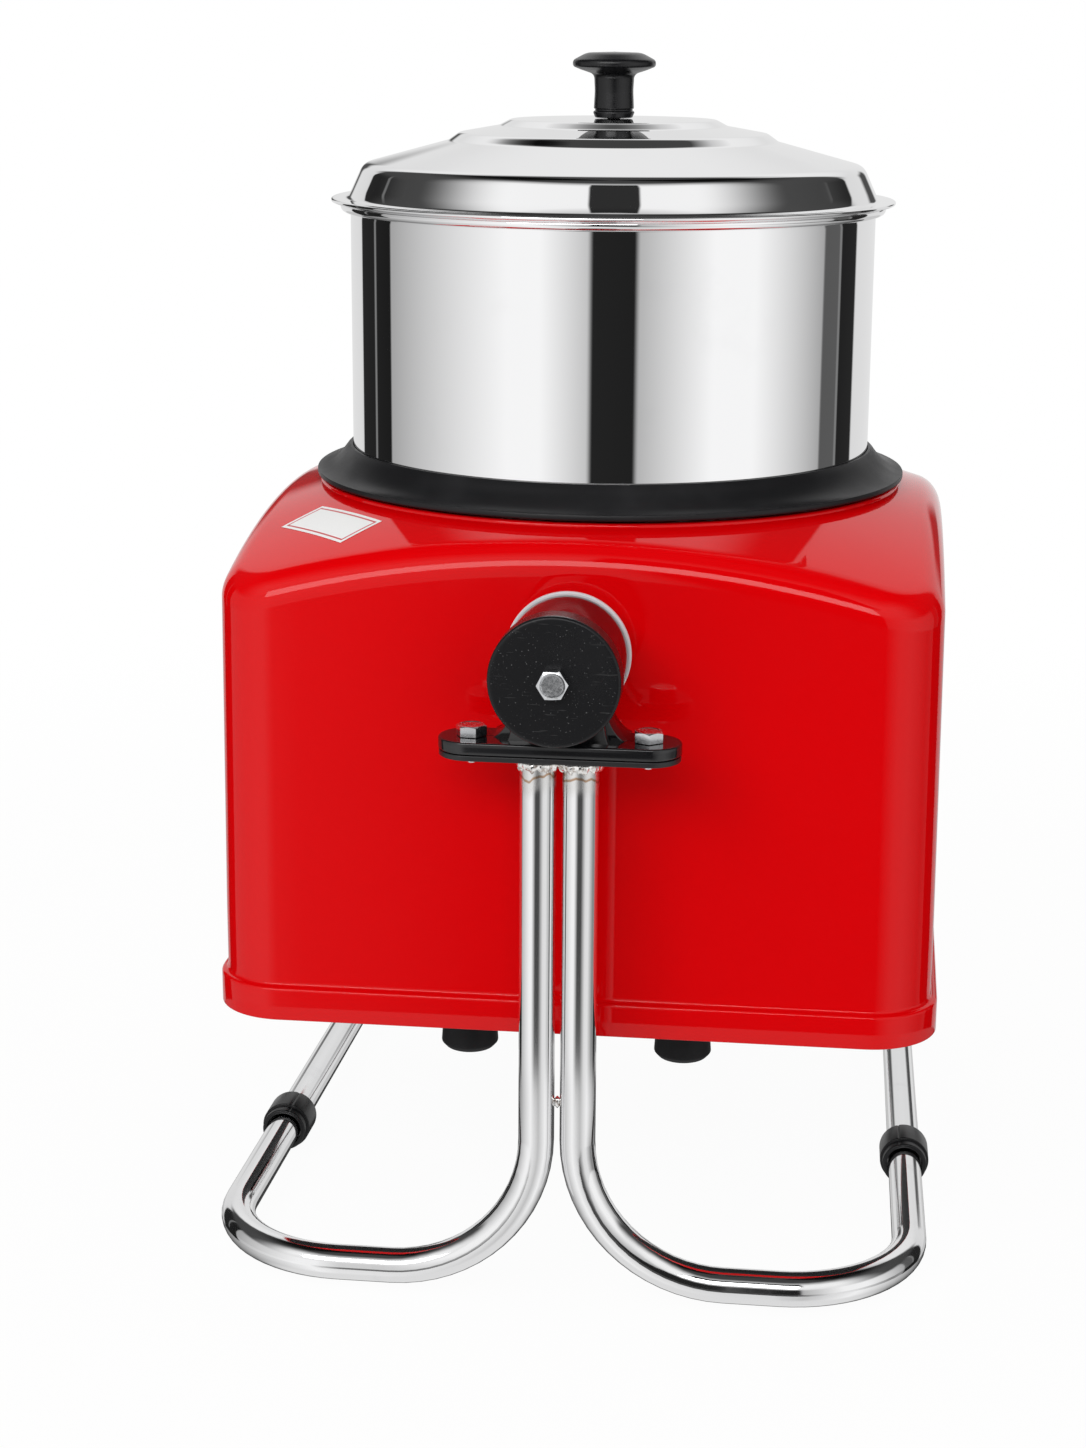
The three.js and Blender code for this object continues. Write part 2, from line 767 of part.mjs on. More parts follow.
// The wall's upper part of one station: along the dome from the boss and over the fillet.
// An inset gives the inner face of the wall.
function topPoints(station, inset, domeSteps, filletSteps) {
  const half = bodyHalfWidth - bodyDraft - inset;
  const corner = bodyCorner - inset;
  const fillet = topFillet - inset;
  const shoulder = squarePoint(station, half - fillet, corner - fillet);
  const inner = shoulder.clone().setLength(bossRadius - inset);
  const points = [];
  for (let k = 0; k < domeSteps; k += 1) {
    const point = inner.clone().lerp(shoulder, k / domeSteps);
    points.push([point.x, point.y, domeHeight(point) - inset]);
  }
  for (let k = 0; k <= filletSteps; k += 1) {
    const angle = k / filletSteps * Math.PI / 2;
    const back = fillet * (1 - Math.sin(angle));
    const point = squarePoint(station, half - back, corner - back);
    points.push([point.x, point.y, domeHeight(point) - inset - fillet * (1 - Math.cos(angle))]);
  }
  return points;
}

// One closed section of the shell: deck, boss, dome, wall and skirt, then back along the inside
function shellSection(station) {
  const ray = squarePoint(station, bodyHalfWidth, bodyCorner).normalize();
  const round = (radius, height) => [ray.x * radius, ray.y * radius, height];
  const square = (half, corner, height) => {
    const point = squarePoint(station, half, corner);
    return [point.x, point.y, height];
  };
  const skirtHalf = bodyHalfWidth + skirtStep;
  const skirtCorner = bodyCorner + skirtStep;
  const skirtTop = skirtHeight + skirtBand;
  const rimInner = bossRadius - bossRim;
  const outside = [
    round(deckHoleRadius, deckHeight),
    round(rimInner - deckSlope, deckHeight),
    round(rimInner, bossHeight),
    round(bossRadius, bossHeight),
    ...topPoints(station, 0, outerDomeSteps, outerFilletSteps),
    square(bodyHalfWidth, bodyCorner, skirtTop + skirtRound),
    square(bodyHalfWidth + skirtRound / 2, bodyCorner + skirtRound / 2, skirtTop),
    square(skirtHalf - skirtRound, skirtCorner - skirtRound, skirtTop),
    square(skirtHalf, skirtCorner, skirtTop - skirtRound),
    square(skirtHalf, skirtCorner, skirtHeight)
  ];
  const inside = [
    round(deckHoleRadius, deckHeight - bodyWall),
    round(rimInner + seatGap, deckHeight - bodyWall),
    ...topPoints(station, bodyWall, innerDomeSteps, innerFilletSteps),
    square(bodyHalfWidth - bodyWall, bodyCorner - bodyWall, skirtTop),
    square(skirtHalf - bodyWall, skirtCorner - bodyWall, skirtTop - bodyWall),
    square(skirtHalf - bodyWall, skirtCorner - bodyWall, skirtHeight)
  ];
  return [...outside, ...inside.reverse()];
}

// A body with a hole through it, from closed sections set round the Z axis
function lofted(sections) {
  const size = sections[0].length;
  const index = [];
  sections.forEach((section, k) => {
    const here = k * size;
    const next = ((k + 1) % sections.length) * size;
    for (let i = 0; i < size; i += 1) {
      const j = (i + 1) % size;
      index.push(here + i, next + i, next + j, here + i, next + j, here + j);
    }
  });
  const geometry = new THREE.BufferGeometry();
  geometry.setAttribute('position', new THREE.Float32BufferAttribute(sections.flat(2), 3));
  geometry.setIndex(index);
  return geometry;
}

function addBodyShell(parent) {
  const shell = lofted(squareStations().map(shellSection));
  const shaftReach = bodyHalfWidth + overrun;
  const shaftHole = disc(shoulderRadius + turningGap, -shaftReach, shaftReach, mediumSides)
    .rotateX(Math.PI / 2).translate(0, 0, trunnionHeight);
  const switchHole = block(2 * bodyWall + 2 * overrun, 2 * bezelHalfWidth, 2 * bezelHalfHeight,
    -bodyHalfWidth, switchPlace, switchHeight);
  const glandReach = bodyWall + overrun;
  const glandHole = disc(boreFor(glandRadius, seatGap, smallSides), -glandReach, glandReach, smallSides)
    .rotateX(Math.PI / 2).translate(-glandPlace, bodyHalfWidth, glandHeight);
  piece('body_shell', cut(shell, shaftHole, switchHole, glandHole), 'redPlastic', parent);
}

function addBasePlate(parent) {
  const half = bodyHalfWidth + skirtStep - bodyWall - seatGap;
  const corner = bodyCorner + skirtStep - bodyWall - seatGap;
  const outline = new THREE.Shape(squareStations().map((station) => squarePoint(station, half, corner)));
  const slots = [];
  for (const side of [-1, 1]) {
    for (let k = 0; k < slotCount; k += 1) {
      const slot = roundedRectangle(slotHalfLength, slotRadius, slotRadius);
      const y = (k - (slotCount - 1) / 2) * slotPitch;
      const cutter = extruded(slot, basePlateThickness + 2 * overrun, slotArcSteps);
      slots.push(cutter.translate(side * slotPlaceX, y, -overrun));
    }
  }
  piece('base_plate', cut(extruded(outline, basePlateThickness), ...slots), 'blackSteel', parent)
    .position.z = skirtHeight + basePlateRaise;
}

function addFeet(parent) {
  const top = basePlateRaise - seatGap;
  const foot = turned([[0, -footHeight], [footRadius - 2 * footTaper, -footHeight],
    [footRadius - footTaper, footTaper - footHeight], [footRadius, top], [0, top]], mediumSides);
  for (const [end, endSide] of [['front', -1], ['rear', 1]]) {
    for (const [name, side] of [['left', -1], ['right', 1]]) {
      piece(`${end}_${name}_foot`, foot.clone(), 'rubber', parent)
        .position.set(side * footPlaceX, endSide * footPlaceY, skirtHeight);
    }
  }
}

// Cradle: a steel strap bent into a closed frame, which carries shafts, spindle housing, post and motor
const cradleFoot = skirtHeight + basePlateRaise + basePlateThickness + seatGap;
const cradleTop = deckHeight - bodyWall - seatGap;

function addCradle(parent) {
  const halfHeight = (cradleTop - cradleFoot) / 2;
  const middle = cradleFoot + halfHeight;
  const outline = roundedRectangle(cradleHalfLength, halfHeight, cradleBend);
  outline.holes.push(roundedRectangle(cradleHalfLength - cradleThickness, halfHeight - cradleThickness,
    cradleBend - cradleThickness));
  const strap = extruded(outline, 2 * cradleHalfWidth).rotateZ(Math.PI / 2).rotateY(Math.PI / 2)
    .translate(-cradleHalfWidth, 0, middle);
  const ear = tubeRing(housingNeckRadius, cradleTopWidth,
    cradleTop - cradleThickness, cradleTop, mediumSides);
  const neckHole = disc(boreFor(housingNeckRadius, seatGap, mediumSides), cradleTop - 2 * cradleThickness,
    cradleTop + overrun, mediumSides);
  piece('cradle', cut(join(strap, ear), neckHole), 'steel', parent);
}

// The housing hangs under the cradle's top by its flange, with a bearing seat at each end
function addSpindleHousing(parent) {
  const seat = boreFor(bearingRadius, seatGap, smallSides);
  const flangeTop = cradleTop - cradleThickness - seatGap;
  const upperFloor = housingTop - housingLip - bearingWidth - seatGap;
  const lowerRoof = housingFoot + housingLip + bearingWidth + seatGap;
  const profile = [
    [seat, housingFoot],
    [housingBodyRadius, housingFoot],
    [housingBodyRadius, flangeTop - housingFlangeThickness],
    [housingFlangeRadius, flangeTop - housingFlangeThickness],
    [housingFlangeRadius, flangeTop],
    [housingNeckRadius, flangeTop],
    [housingNeckRadius, housingTop],
    [seat, housingTop],
    [seat, upperFloor],
    [seat - housingLip, upperFloor],
    [seat - housingLip, lowerRoof],
    [seat, lowerRoof]
  ];
  piece('spindle_housing', turned(profile, smallSides), 'aluminium', parent);
  const bore = boreFor(spindleRadius, seatGap, smallSides);
  const bearing = tubeRing(bore, bearingRadius, 0, bearingWidth, smallSides);
  piece('upper_bearing', bearing, 'steel', parent).position.z = upperFloor + seatGap;
  piece('lower_bearing', bearing.clone(), 'steel', parent).position.z = lowerRoof - seatGap - bearingWidth;
}

// Motor, standing on the cradle behind the spindle

const motorFoot = cradleFoot + cradleThickness + seatGap;
const motorHeight = pulleyFoot - fanSpace - fanHeight - fanRaise - motorFoot;

function addMotor(parent, rotorGroup) {
  const shaftBore = boreFor(motorShaftRadius, seatGap, smallSides);
  const statorFoot = motorHeight * motorShieldShare;
  const statorTop = motorHeight - statorFoot;
  const coreFoot = statorFoot + rotorCoreInset;
  const coreTop = statorTop - rotorCoreInset;
  const casing = turned([
    [shaftBore, 0],
    [motorFlangeRadius, 0],
    [motorFlangeRadius, motorFlangeThickness],
    [motorRadius, motorFlangeThickness],
    [motorRadius, motorHeight - motorShieldThickness],
    [motorRadius - motorShieldThickness, motorHeight],
    [shaftBore, motorHeight],
    [shaftBore, motorHeight - motorShieldThickness],
    [windingRadius, motorHeight - motorShieldThickness],
    [windingRadius, statorTop],
    [statorBore, statorTop],
    [statorBore, statorFoot],
    [windingRadius, statorFoot],
    [windingRadius, motorShieldThickness],
    [shaftBore, motorShieldThickness]
  ], smallSides);
  piece('motor', casing, 'aluminium', parent).position.set(0, motorOffset, motorFoot);

  const pulleyTop = pulleyFoot + pulleyWidth;
  const coreRadius = statorBore * Math.cos(Math.PI / smallSides) - rotorGap;
  const rotor = turned([
    [0, motorShaftFoot],
    [motorShaftRadius, motorShaftFoot],
    [motorShaftRadius, coreFoot],
    [coreRadius, coreFoot],
    [coreRadius, coreTop],
    [motorShaftRadius, coreTop],
    [motorShaftRadius, pulleyTop - motorFoot],
    [0, pulleyTop - motorFoot]
  ], smallSides);
  piece('motor_rotor', rotor, 'steel', rotorGroup).position.set(0, motorOffset, motorFoot);

  const bore = boreFor(motorShaftRadius, seatGap, smallSides);
  const bladeLength = fanRadius - fanHubRadius / 2;
  const bladeMiddle = fanRadius - bladeLength / 2;
  const blades = [...Array(fanBlades).keys()].map((k) => block(bladeLength, fanBlade, fanHeight,
    bladeMiddle, 0, fanHeight / 2).rotateZ(2 * Math.PI * k / fanBlades));
  const backDisc = disc(fanRadius, 0, fanDisc, smallSides);
  const fanHub = disc(fanHubRadius, 0, fanHeight, smallSides);
  const wheel = join(backDisc, fanHub, ...blades);
  const fan = cut(wheel, disc(bore, -overrun, fanHeight + overrun, smallSides));
  piece('cooling_fan', fan, 'blackPlastic', rotorGroup)
    .position.set(0, motorOffset, motorFoot + motorHeight + fanRaise);
  piece('motor_pulley', pulley(motorPulleyRadius, bore), 'aluminium', rotorGroup)
    .position.set(0, motorOffset, pulleyFoot);
}

// A flat-belt pulley with a flange at each end of its face
function pulley(radius, bore) {
  return turned([
    [bore, 0],
    [radius + pulleyRim, 0],
    [radius + pulleyRim, pulleyFlange],
    [radius, pulleyFlange],
    [radius, pulleyWidth - pulleyFlange],
    [radius + pulleyRim, pulleyWidth - pulleyFlange],
    [radius + pulleyRim, pulleyWidth],
    [bore, pulleyWidth]
  ], smallSides);
}

function addDrivenPulley(parent) {
  const bore = boreFor(spindleRadius, seatGap, mediumSides);
  const rimInner = drivenPulleyRadius - pulleyRimWall;
  const webFoot = (pulleyWidth - pulleyWeb) / 2;
  const wheel = turned([
    [bore, 0],
    [pulleyHubRadius, 0],
    [pulleyHubRadius, webFoot],
    [rimInner, webFoot],
    [rimInner, 0],
    [drivenPulleyRadius + pulleyRim, 0],
    [drivenPulleyRadius + pulleyRim, pulleyFlange],
    [drivenPulleyRadius, pulleyFlange],
    [drivenPulleyRadius, pulleyWidth - pulleyFlange],
    [drivenPulleyRadius + pulleyRim, pulleyWidth - pulleyFlange],
    [drivenPulleyRadius + pulleyRim, pulleyWidth],
    [rimInner, pulleyWidth],
    [rimInner, webFoot + pulleyWeb],
    [pulleyHubRadius, webFoot + pulleyWeb],
    [pulleyHubRadius, pulleyHubHeight],
    [bore, pulleyHubHeight]
  ], mediumSides);
  piece('driven_pulley', wheel, 'aluminium', parent).position.z = pulleyFoot;
}

// The belt: the outline round both pulleys, less the same outline a belt's thickness smaller
function beltLoop(bigRadius, smallRadius) {
  const lean = Math.asin((bigRadius - smallRadius) / motorOffset);
  const shape = new THREE.Shape();
  shape.absarc(0, 0, bigRadius, Math.PI - lean, 2 * Math.PI + lean);
  shape.absarc(0, motorOffset, smallRadius, lean, Math.PI - lean);
  shape.closePath();
  return shape;
}

function addBelt(parent) {
  const innerBig = drivenPulleyRadius + 2 * beltGap;
  const innerSmall = motorPulleyRadius + 2 * beltGap;
  const depth = pulleyWidth - 2 * pulleyFlange - 2 * beltGap;
  const outline = beltLoop(innerBig + beltThickness, innerSmall + beltThickness);
  const opening = beltLoop(innerBig, innerSmall);
  const band = extruded(outline, depth, beltSteps);
  const space = extruded(opening, depth + 2 * overrun, beltSteps).translate(0, 0, -overrun);
  piece('drive_belt', cut(band, space), 'rubber', parent).position.z = pulleyFoot + pulleyFlange + beltGap;
}

function addCapacitor(parent) {
  const can = turned([[0, 0], [capacitorRadius - capacitorCrimp, 0], [capacitorRadius, capacitorCrimp],
    [capacitorRadius, capacitorHeight - capacitorCrimp],
    [capacitorRadius - capacitorCrimp, capacitorHeight], [0, capacitorHeight]], mediumSides);
  piece('capacitor', can, 'aluminium', parent).position.set(0, -motorOffset, motorFoot);
}

// Drum and what turns with it

function addSpindle(parent) {
  const top = drumFloorHeight - seatGap;
  const profile = [
    [spindleBore, spindleFoot],
    [spindleRadius, spindleFoot],
    [spindleRadius, top - spindleFlangeThickness],
    [spindleFlangeRadius, top - spindleFlangeThickness],
    [spindleFlangeRadius, top],
    [spindleBore, top]
  ];
  piece('spindle', turned(profile, mediumSides), 'steel', parent);
}

function addDrum(parent) {
  const inner = drumRadius - drumWall;
  const floorTop = drumFloorHeight + drumWall;
  const beadCentre = [drumRadius + beadRadius - drumWall / 2, drumTopHeight - beadRadius];
  const bead = beadTurnShares.map((turnShare) => [
    beadCentre[0] + beadRadius * Math.cos(turnShare * Math.PI),
    beadCentre[1] + beadRadius * Math.sin(turnShare * Math.PI)
  ]);
  const tubeOuter = centreTubeRadius;
  const tubeInner = centreTubeRadius - drumWall;
  const tubeTopHeight = drumFloorHeight + centreTubeHeight;
  const profile = [
    [tubeInner, drumFloorHeight],
    [drumRadius - drumFootRound, drumFloorHeight],
    [drumRadius - drumFootRound * (1 - Math.SQRT1_2), drumFloorHeight + drumFootRound * (1 - Math.SQRT1_2)],
    [drumRadius, drumFloorHeight + drumFootRound],
    ...bead,
    [inner, beadCentre[1] - beadRadius],
    [inner, floorTop + drumFootRound],
    [inner - drumFootRound, floorTop],
    [tubeOuter, floorTop],
    [tubeOuter, tubeTopHeight],
    [tubeInner, tubeTopHeight]
  ];
  piece('drum', turned(profile, largeSides), 'stainless', parent);
}

// The black ring grips the drum's foot with a cuff and spreads a concave wing over the boss
function addSkirtRing(parent) {
  const inner = drumRadius + seatGap;
  const cuff = inner + ringCuff;
  const span = ringRadius - cuff;
  const rise = ringTop - ringFoot - ringLip;
  const upper = ringFlareShares.map(([out, up]) => [cuff + out * span, ringFoot + ringLip + up * rise]);
  const wingFoot = ringFoot + ringLip - ringWing;
  const lower = ringFlareShares.slice(1).reverse()
    .map(([out, up]) => [cuff + out * (span - ringWing), wingFoot + up * (rise - ringWing)]);
  const profile = [
    [inner, ringTop],
    ...upper,
    [ringRadius, ringFoot],
    [ringRadius - ringWing, ringFoot],
    ...lower,
    [cuff, ringFoot + seatGap],
    [inner, ringFoot + seatGap]
  ];
  piece('skirt_ring', turned(profile, largeSides), 'rubber', parent);
}

const bedTop = drumFloorHeight + drumWall + seatGap + bedThickness;

function addBedStone(parent) {
  const foot = bedTop - bedThickness;
  const outer = bedRadius;
  const profile = [
    [bedHoleRadius, foot],
    [outer - drumFootRound, foot],
    [outer, foot + drumFootRound],
    [outer, bedTop - bedChamfer],
    [outer - bedChamfer, bedTop],
    [bedHoleRadius, bedTop]
  ];
  piece('base_stone', turned(profile, largeSides), 'granite', parent);
}

// Rollers and their holder

const rollerAngle = Math.asin(rollerSineShare);
const hubInner = centreTubeRadius + 2 * turningGap;
const hubOuter = hubInner + hubWall;
const hubFoot = bedTop + hubLift;
const hubTop = drumFloorHeight + centreTubeHeight + hubLift + hubRoof;

// A cone roller along the Z axis, measured from the point where its side meets the drum's axis
function rollerStone() {
  const near = rollerStart * Math.cos(rollerAngle);
  const far = rollerEnd * Math.cos(rollerAngle);
  const tangent = Math.tan(rollerAngle);
  const bore = boreFor(axleRadius, 2 * seatGap, mediumSides);
  return turned([
    [bore, near],
    [near * tangent - rollerChamfer, near],
    [(near + rollerChamfer) * tangent, near + rollerChamfer],
    [(far - rollerChamfer) * tangent, far - rollerChamfer],
    [far * tangent - rollerChamfer, far],
    [bore, far]
  ], mediumSides);
}

// A group whose Z axis is a roller's axle, pointing up and out to one side
function axleFrame(side) {
  const frame = new THREE.Group();
  frame.position.z = bedTop + seatGap;
  frame.rotation.y = side * (Math.PI / 2 - rollerAngle);
  return frame;
}

function addRollers(parent) {
  for (const [name, side] of [['left', -1], ['right', 1]]) {
    const frame = axleFrame(side);
    parent.add(frame);
    piece(`${name}_roller_stone`, rollerStone(), 'granite', frame);
  }
}

function addRollerHolder(parent) {
  const far = rollerEnd * Math.cos(rollerAngle) + seatGap;
  const axle = turned([
    [0, hubInner + hubWall / 2],
    [axleRadius, hubInner + hubWall / 2],
    [axleRadius, far],
    [axleCollarRadius, far],
    [axleCollarRadius, far + axleCollar],
    [0, far + axleCollar]
  ], mediumSides);
  const axles = [-1, 1].map((side) => {
    const frame = axleFrame(side);
    frame.updateMatrix();
    return axle.clone().applyMatrix4(frame.matrix);
  });
  const hub = turned([
    [boreFor(postRadius, seatGap, smallSides), hubTop - hubRoof],
    [hubInner, hubTop - hubRoof],
    [hubInner, hubFoot],
    [hubOuter, hubFoot],
    [hubOuter, hubTop],
    [boreFor(postRadius, seatGap, smallSides), hubTop]
  ], mediumSides);
  piece('roller_holder', join(hub, ...axles), 'stainless', parent);

  const post = turned([
    [0, motorFoot],
    [postFlangeRadius, motorFoot],
    [postFlangeRadius, motorFoot + postFlangeThickness],
    [postRadius, motorFoot + postFlangeThickness],
    [postRadius, postHeight],
    [0, postHeight]
  ], smallSides);
  piece('centre_post', post, 'steel', parent);
}

// The scraper's arm is clamped under the lock knob and its blade hangs by the drum's wall
function addScraper(parent) {
  const foot = hubTop + seatGap;
  const armEnd = scraperReach - scraperThickness;
  const arm = block(scraperWidth, armEnd, scraperThickness, 0, armEnd / 2, foot + scraperThickness / 2);
  const eye = disc(postFlangeRadius, foot, foot + scraperThickness, mediumSides);
  const bladeFoot = bedTop + scraperLift;
  const bladeHeight = foot + scraperThickness - bladeFoot;
  const blade = block(scraperBlade, scraperThickness, bladeHeight,
    0, scraperReach - scraperThickness, bladeFoot + bladeHeight / 2);
  const holeTop = foot + scraperThickness + overrun;
  const hole = disc(boreFor(postRadius, seatGap, smallSides), foot - overrun, holeTop, smallSides);
  piece('batter_scraper', cut(join(arm, eye, blade), hole), 'paleNylon', parent);

  const knobFoot = foot + scraperThickness + seatGap;
  const socket = boreFor(postRadius, seatGap, smallSides);
  const knob = turned([
    [socket, 0],
    [knobRadius - knobWaist, 0],
    [knobRadius, knobWaist],
    [knobRadius, knobHeight - knobWaist],
    [knobRadius - knobWaist, knobHeight],
    [0, knobHeight],
    [0, postHeight - knobFoot + seatGap],
    [socket, postHeight - knobFoot + seatGap]
  ], mediumSides);
  piece('lock_knob', knob, 'blackPlastic', parent).position.z = knobFoot;
}

// Lid, resting on the drum's bead

const lidRimHeight = drumTopHeight + seatGap + lidWall;

function addLid(parent) {
  const top = [
    [lidHoleRadius, lidCrownRise],
    [innerStepRadius - innerStepWidth, innerStepRise + innerStepHeight],
    [innerStepRadius, innerStepRise],
    [outerStepRadius - outerStepWidth, outerStepRise + outerStepHeight],
    [outerStepRadius, outerStepRise],
    [lidShoulderRadius - lidShoulderRound, lidShoulderRise + lidShoulderRound / 4],
    [lidShoulderRadius, lidShoulderRise - lidShoulderRound / 2],
    [lidWallFoot, lidWallRise],
    [lidWallFoot + lidRimCurl, 0],
    [lidRimRadius - lidRimCurl, 0]
  ];
  const rim = [
    [lidRimRadius, -lidRimCurl / 2],
    [lidRimRadius - lidRimCurl / 2, -lidRimCurl],
    [lidRimRadius - lidRimCurl, -lidRimCurl],
    [lidRimRadius - 2 * lidRimCurl, -lidWall],
    [lidWallFoot, -lidWall]
  ];
  const under = [
    [lidWallFoot - lidWall, lidWallRise - lidWall],
    [lidShoulderRadius - lidWall, lidShoulderRise - lidShoulderRound / 2 - lidWall],
    [lidShoulderRadius - lidShoulderRound, lidShoulderRise + lidShoulderRound / 4 - lidWall],
    [outerStepRadius - lidWall, outerStepRise - lidWall],
    [innerStepRadius - lidWall, innerStepRise - lidWall],
    [lidHoleRadius, lidCrownRise - lidWall]
  ];
  const profile = [...top, ...rim, ...under];
  piece('lid', turned(profile, largeSides), 'stainless', parent).position.z = lidRimHeight;
}

// A mushroom knob: a flared foot, a groove, a slightly waisted stem and a domed cap
function addLidKnob(parent) {
  const grooveHeight = knobFootRise + knobGroove;
  const profile = [
    [0, -lidKnobSpigot],
    [lidHoleRadius - seatGap, -lidKnobSpigot],
    [lidHoleRadius - seatGap, 0],
    [knobFootRadius, 0],
    [knobFootRadius + knobFootFlare, knobFootRise],
    [knobStemRadius - knobGroove, grooveHeight],
    [knobStemRadius, grooveHeight + knobGroove],
    [knobStemRadius - knobStemWaist, (grooveHeight + lidKnobUnderside) / 2],
    [knobStemRadius, lidKnobUnderside],
    [lidKnobRadius - lidKnobRound, lidKnobUnderside + lidKnobRound],
    [lidKnobRadius, lidKnobEdge],
    [lidKnobRadius - lidKnobRound, (lidKnobEdge + lidKnobTop) / 2 + lidKnobRound],
    [knobStemRadius, lidKnobTop],
    [0, lidKnobTop]
  ];
  piece('lid_knob', turned(profile, mediumSides), 'blackPlastic', parent)
    .position.z = lidRimHeight + lidCrownRise + seatGap;
}

// Switch and gland

function addSwitch(bodyParent, rockerParent) {
  const face = -bodyHalfWidth - seatGap;
  const hole = block(bezelDepth + 2 * overrun, 2 * (bezelHalfWidth - bezelWall - seatGap),
    2 * (bezelHalfHeight - bezelWall - seatGap), 0, 0, 0);
  const lip = block(bezelThickness, 2 * (bezelHalfWidth + bezelLip), 2 * (bezelHalfHeight + bezelLip),
    -bezelThickness / 2, 0, 0);
  const box = block(bezelDepth, 2 * (bezelHalfWidth - seatGap), 2 * (bezelHalfHeight - seatGap),
    bezelDepth / 2 - seatGap, 0, 0);
  piece('switch_bezel', cut(join(lip, box), hole), 'blackPlastic', bodyParent)
    .position.set(face, switchPlace, switchHeight);
  const half = bezelHalfHeight - bezelWall - 3 * seatGap;
  const narrow = half - rockerTaper;
  const outline = new THREE.Shape();
  outline.moveTo(-rockerRise, half);
  outline.lineTo(-rockerFlush, 0);
  outline.lineTo(-rockerFlush, -half);
  outline.lineTo(rockerDepth, -narrow);
  outline.lineTo(rockerDepth, narrow);
  outline.closePath();
  const width = 2 * (bezelHalfWidth - bezelWall - 2 * seatGap);
  const rocker = extruded(outline, width).translate(0, 0, -width / 2).rotateX(Math.PI / 2);
  piece('switch_rocker', surfaceOf(solidOf(rocker)), 'blackPlastic', rockerParent)
    .position.set(face, switchPlace, switchHeight);
}

function addGland(parent) {
  const outside = disc(glandRadius, -glandInside, glandLength, smallSides);
  const nut = disc(glandHexRadius, seatGap, glandHex + seatGap, hexSides);
  const passage = disc(glandBore, -glandInside - overrun, glandLength + overrun, smallSides);
  const tube = cut(join(outside, nut), passage);
  const gland = piece('cable_gland', tube, 'blackPlastic', parent);
  gland.position.set(-glandPlace, bodyHalfWidth, glandHeight);
  gland.rotation.x = -Math.PI / 2;
}

// Assembly, one group for each body that moves as a whole

const grinder = new THREE.Group();
const stand = new THREE.Group();
const body = new THREE.Group();
const rotor = new THREE.Group();
const turning = new THREE.Group();
const lidGroup = new THREE.Group();
const rockerGroup = new THREE.Group();
grinder.add(stand, body);
body.add(rotor, turning, rockerGroup);
turning.add(lidGroup);

piece('left_stand_tube', standTube(-1), 'stainless', stand);
piece('right_stand_tube', standTube(1), 'stainless', stand);
addSleeves(stand);
trunnionEnd('front', stand, body);
trunnionEnd('rear', stand, body);
addBodyShell(body);
addBasePlate(body);
addFeet(body);
addCradle(body);
addSpindleHousing(body);
addMotor(body, rotor);
addBelt(body);
addCapacitor(body);
addRollerHolder(body);
addRollers(body);
addScraper(body);
addSwitch(body, rockerGroup);
addGland(body);
addSpindle(turning);
addDrivenPulley(turning);
addDrum(turning);
addSkirtRing(turning);
addBedStone(turning);
addLid(lidGroup);
addLidKnob(lidGroup);

export default grinder;
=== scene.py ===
"""The looks of a tilting wet grinder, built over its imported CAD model.

Lengths are in millimetres in this file and become metres when a mesh is made. X runs to the right, Y to the
back and Z up from the floor, as in the CAD model, so object coordinates are the real places at rest.
"""

import json
import math

import bmesh
import bpy
import numpy as np
from mathutils import Matrix, Vector


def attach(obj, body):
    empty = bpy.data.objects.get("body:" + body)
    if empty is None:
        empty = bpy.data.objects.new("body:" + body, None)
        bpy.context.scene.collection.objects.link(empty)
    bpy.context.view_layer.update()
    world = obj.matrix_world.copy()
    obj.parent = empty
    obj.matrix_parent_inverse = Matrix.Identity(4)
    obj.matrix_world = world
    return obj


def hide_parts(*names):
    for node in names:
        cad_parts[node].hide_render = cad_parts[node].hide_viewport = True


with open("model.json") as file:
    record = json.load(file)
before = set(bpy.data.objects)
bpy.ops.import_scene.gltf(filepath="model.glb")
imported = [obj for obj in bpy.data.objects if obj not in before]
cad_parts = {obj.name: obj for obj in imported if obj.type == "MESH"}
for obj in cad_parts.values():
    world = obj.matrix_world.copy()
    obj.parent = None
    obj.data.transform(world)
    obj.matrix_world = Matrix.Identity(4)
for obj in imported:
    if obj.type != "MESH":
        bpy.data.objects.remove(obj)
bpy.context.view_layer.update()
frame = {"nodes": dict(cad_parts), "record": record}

MM = 0.001
TAU = 2 * math.pi
MERGE_DISTANCE = 0.000002

# Sizes shared with the CAD model
AXIS_Z = 291.7
DRUM_R = 125.0
DRUM_FOOT = 345.0
DRUM_TOP = 474.2
BODY_HALF = 163.0
BODY_CORNER = 29.0
BODY_DRAFT = 1.0
WALL = 3.0
SKIRT_FOOT = 113.0
SKIRT_BAND = 16.0
SKIRT_STEP = 3.0
TOP_EDGE = 335.0
DOME_R = 531.0
TOP_FILLET = 10.5
BOSS_R = 141.0
BOSS_TOP = 343.2
TUBE_R = 7.94
TUBE_WALL = 1.2
TUBE_Z = 11.8
LEG_X = 9.2
LEG_Y = 202.0
FLOOR_HALF = 159.0
REAR_HALF = 151.0
FOOT_BEND = 66.0
CORNER_BEND = 58.0
FLANGE_TOP = AXIS_Z - 35.4 + 5.4
FLANGE_FOOT = AXIS_Z - 35.4
SEAT_GAP = 0.3
PLATE_TOP = FLANGE_FOOT - SEAT_GAP
PLATE_FOOT = PLATE_TOP - 2.4
BOLT_X = 38.0
HOUSING_R = 26.5
HOUSING_IN = 174.3
HOUSING_OUT = 212.7
CAP_R = 28.2
CAP_IN = 213.3
CAP_OUT = 225.9
BED_TOP = 366.2
ROLLER_SINE = 0.4


# Mesh making

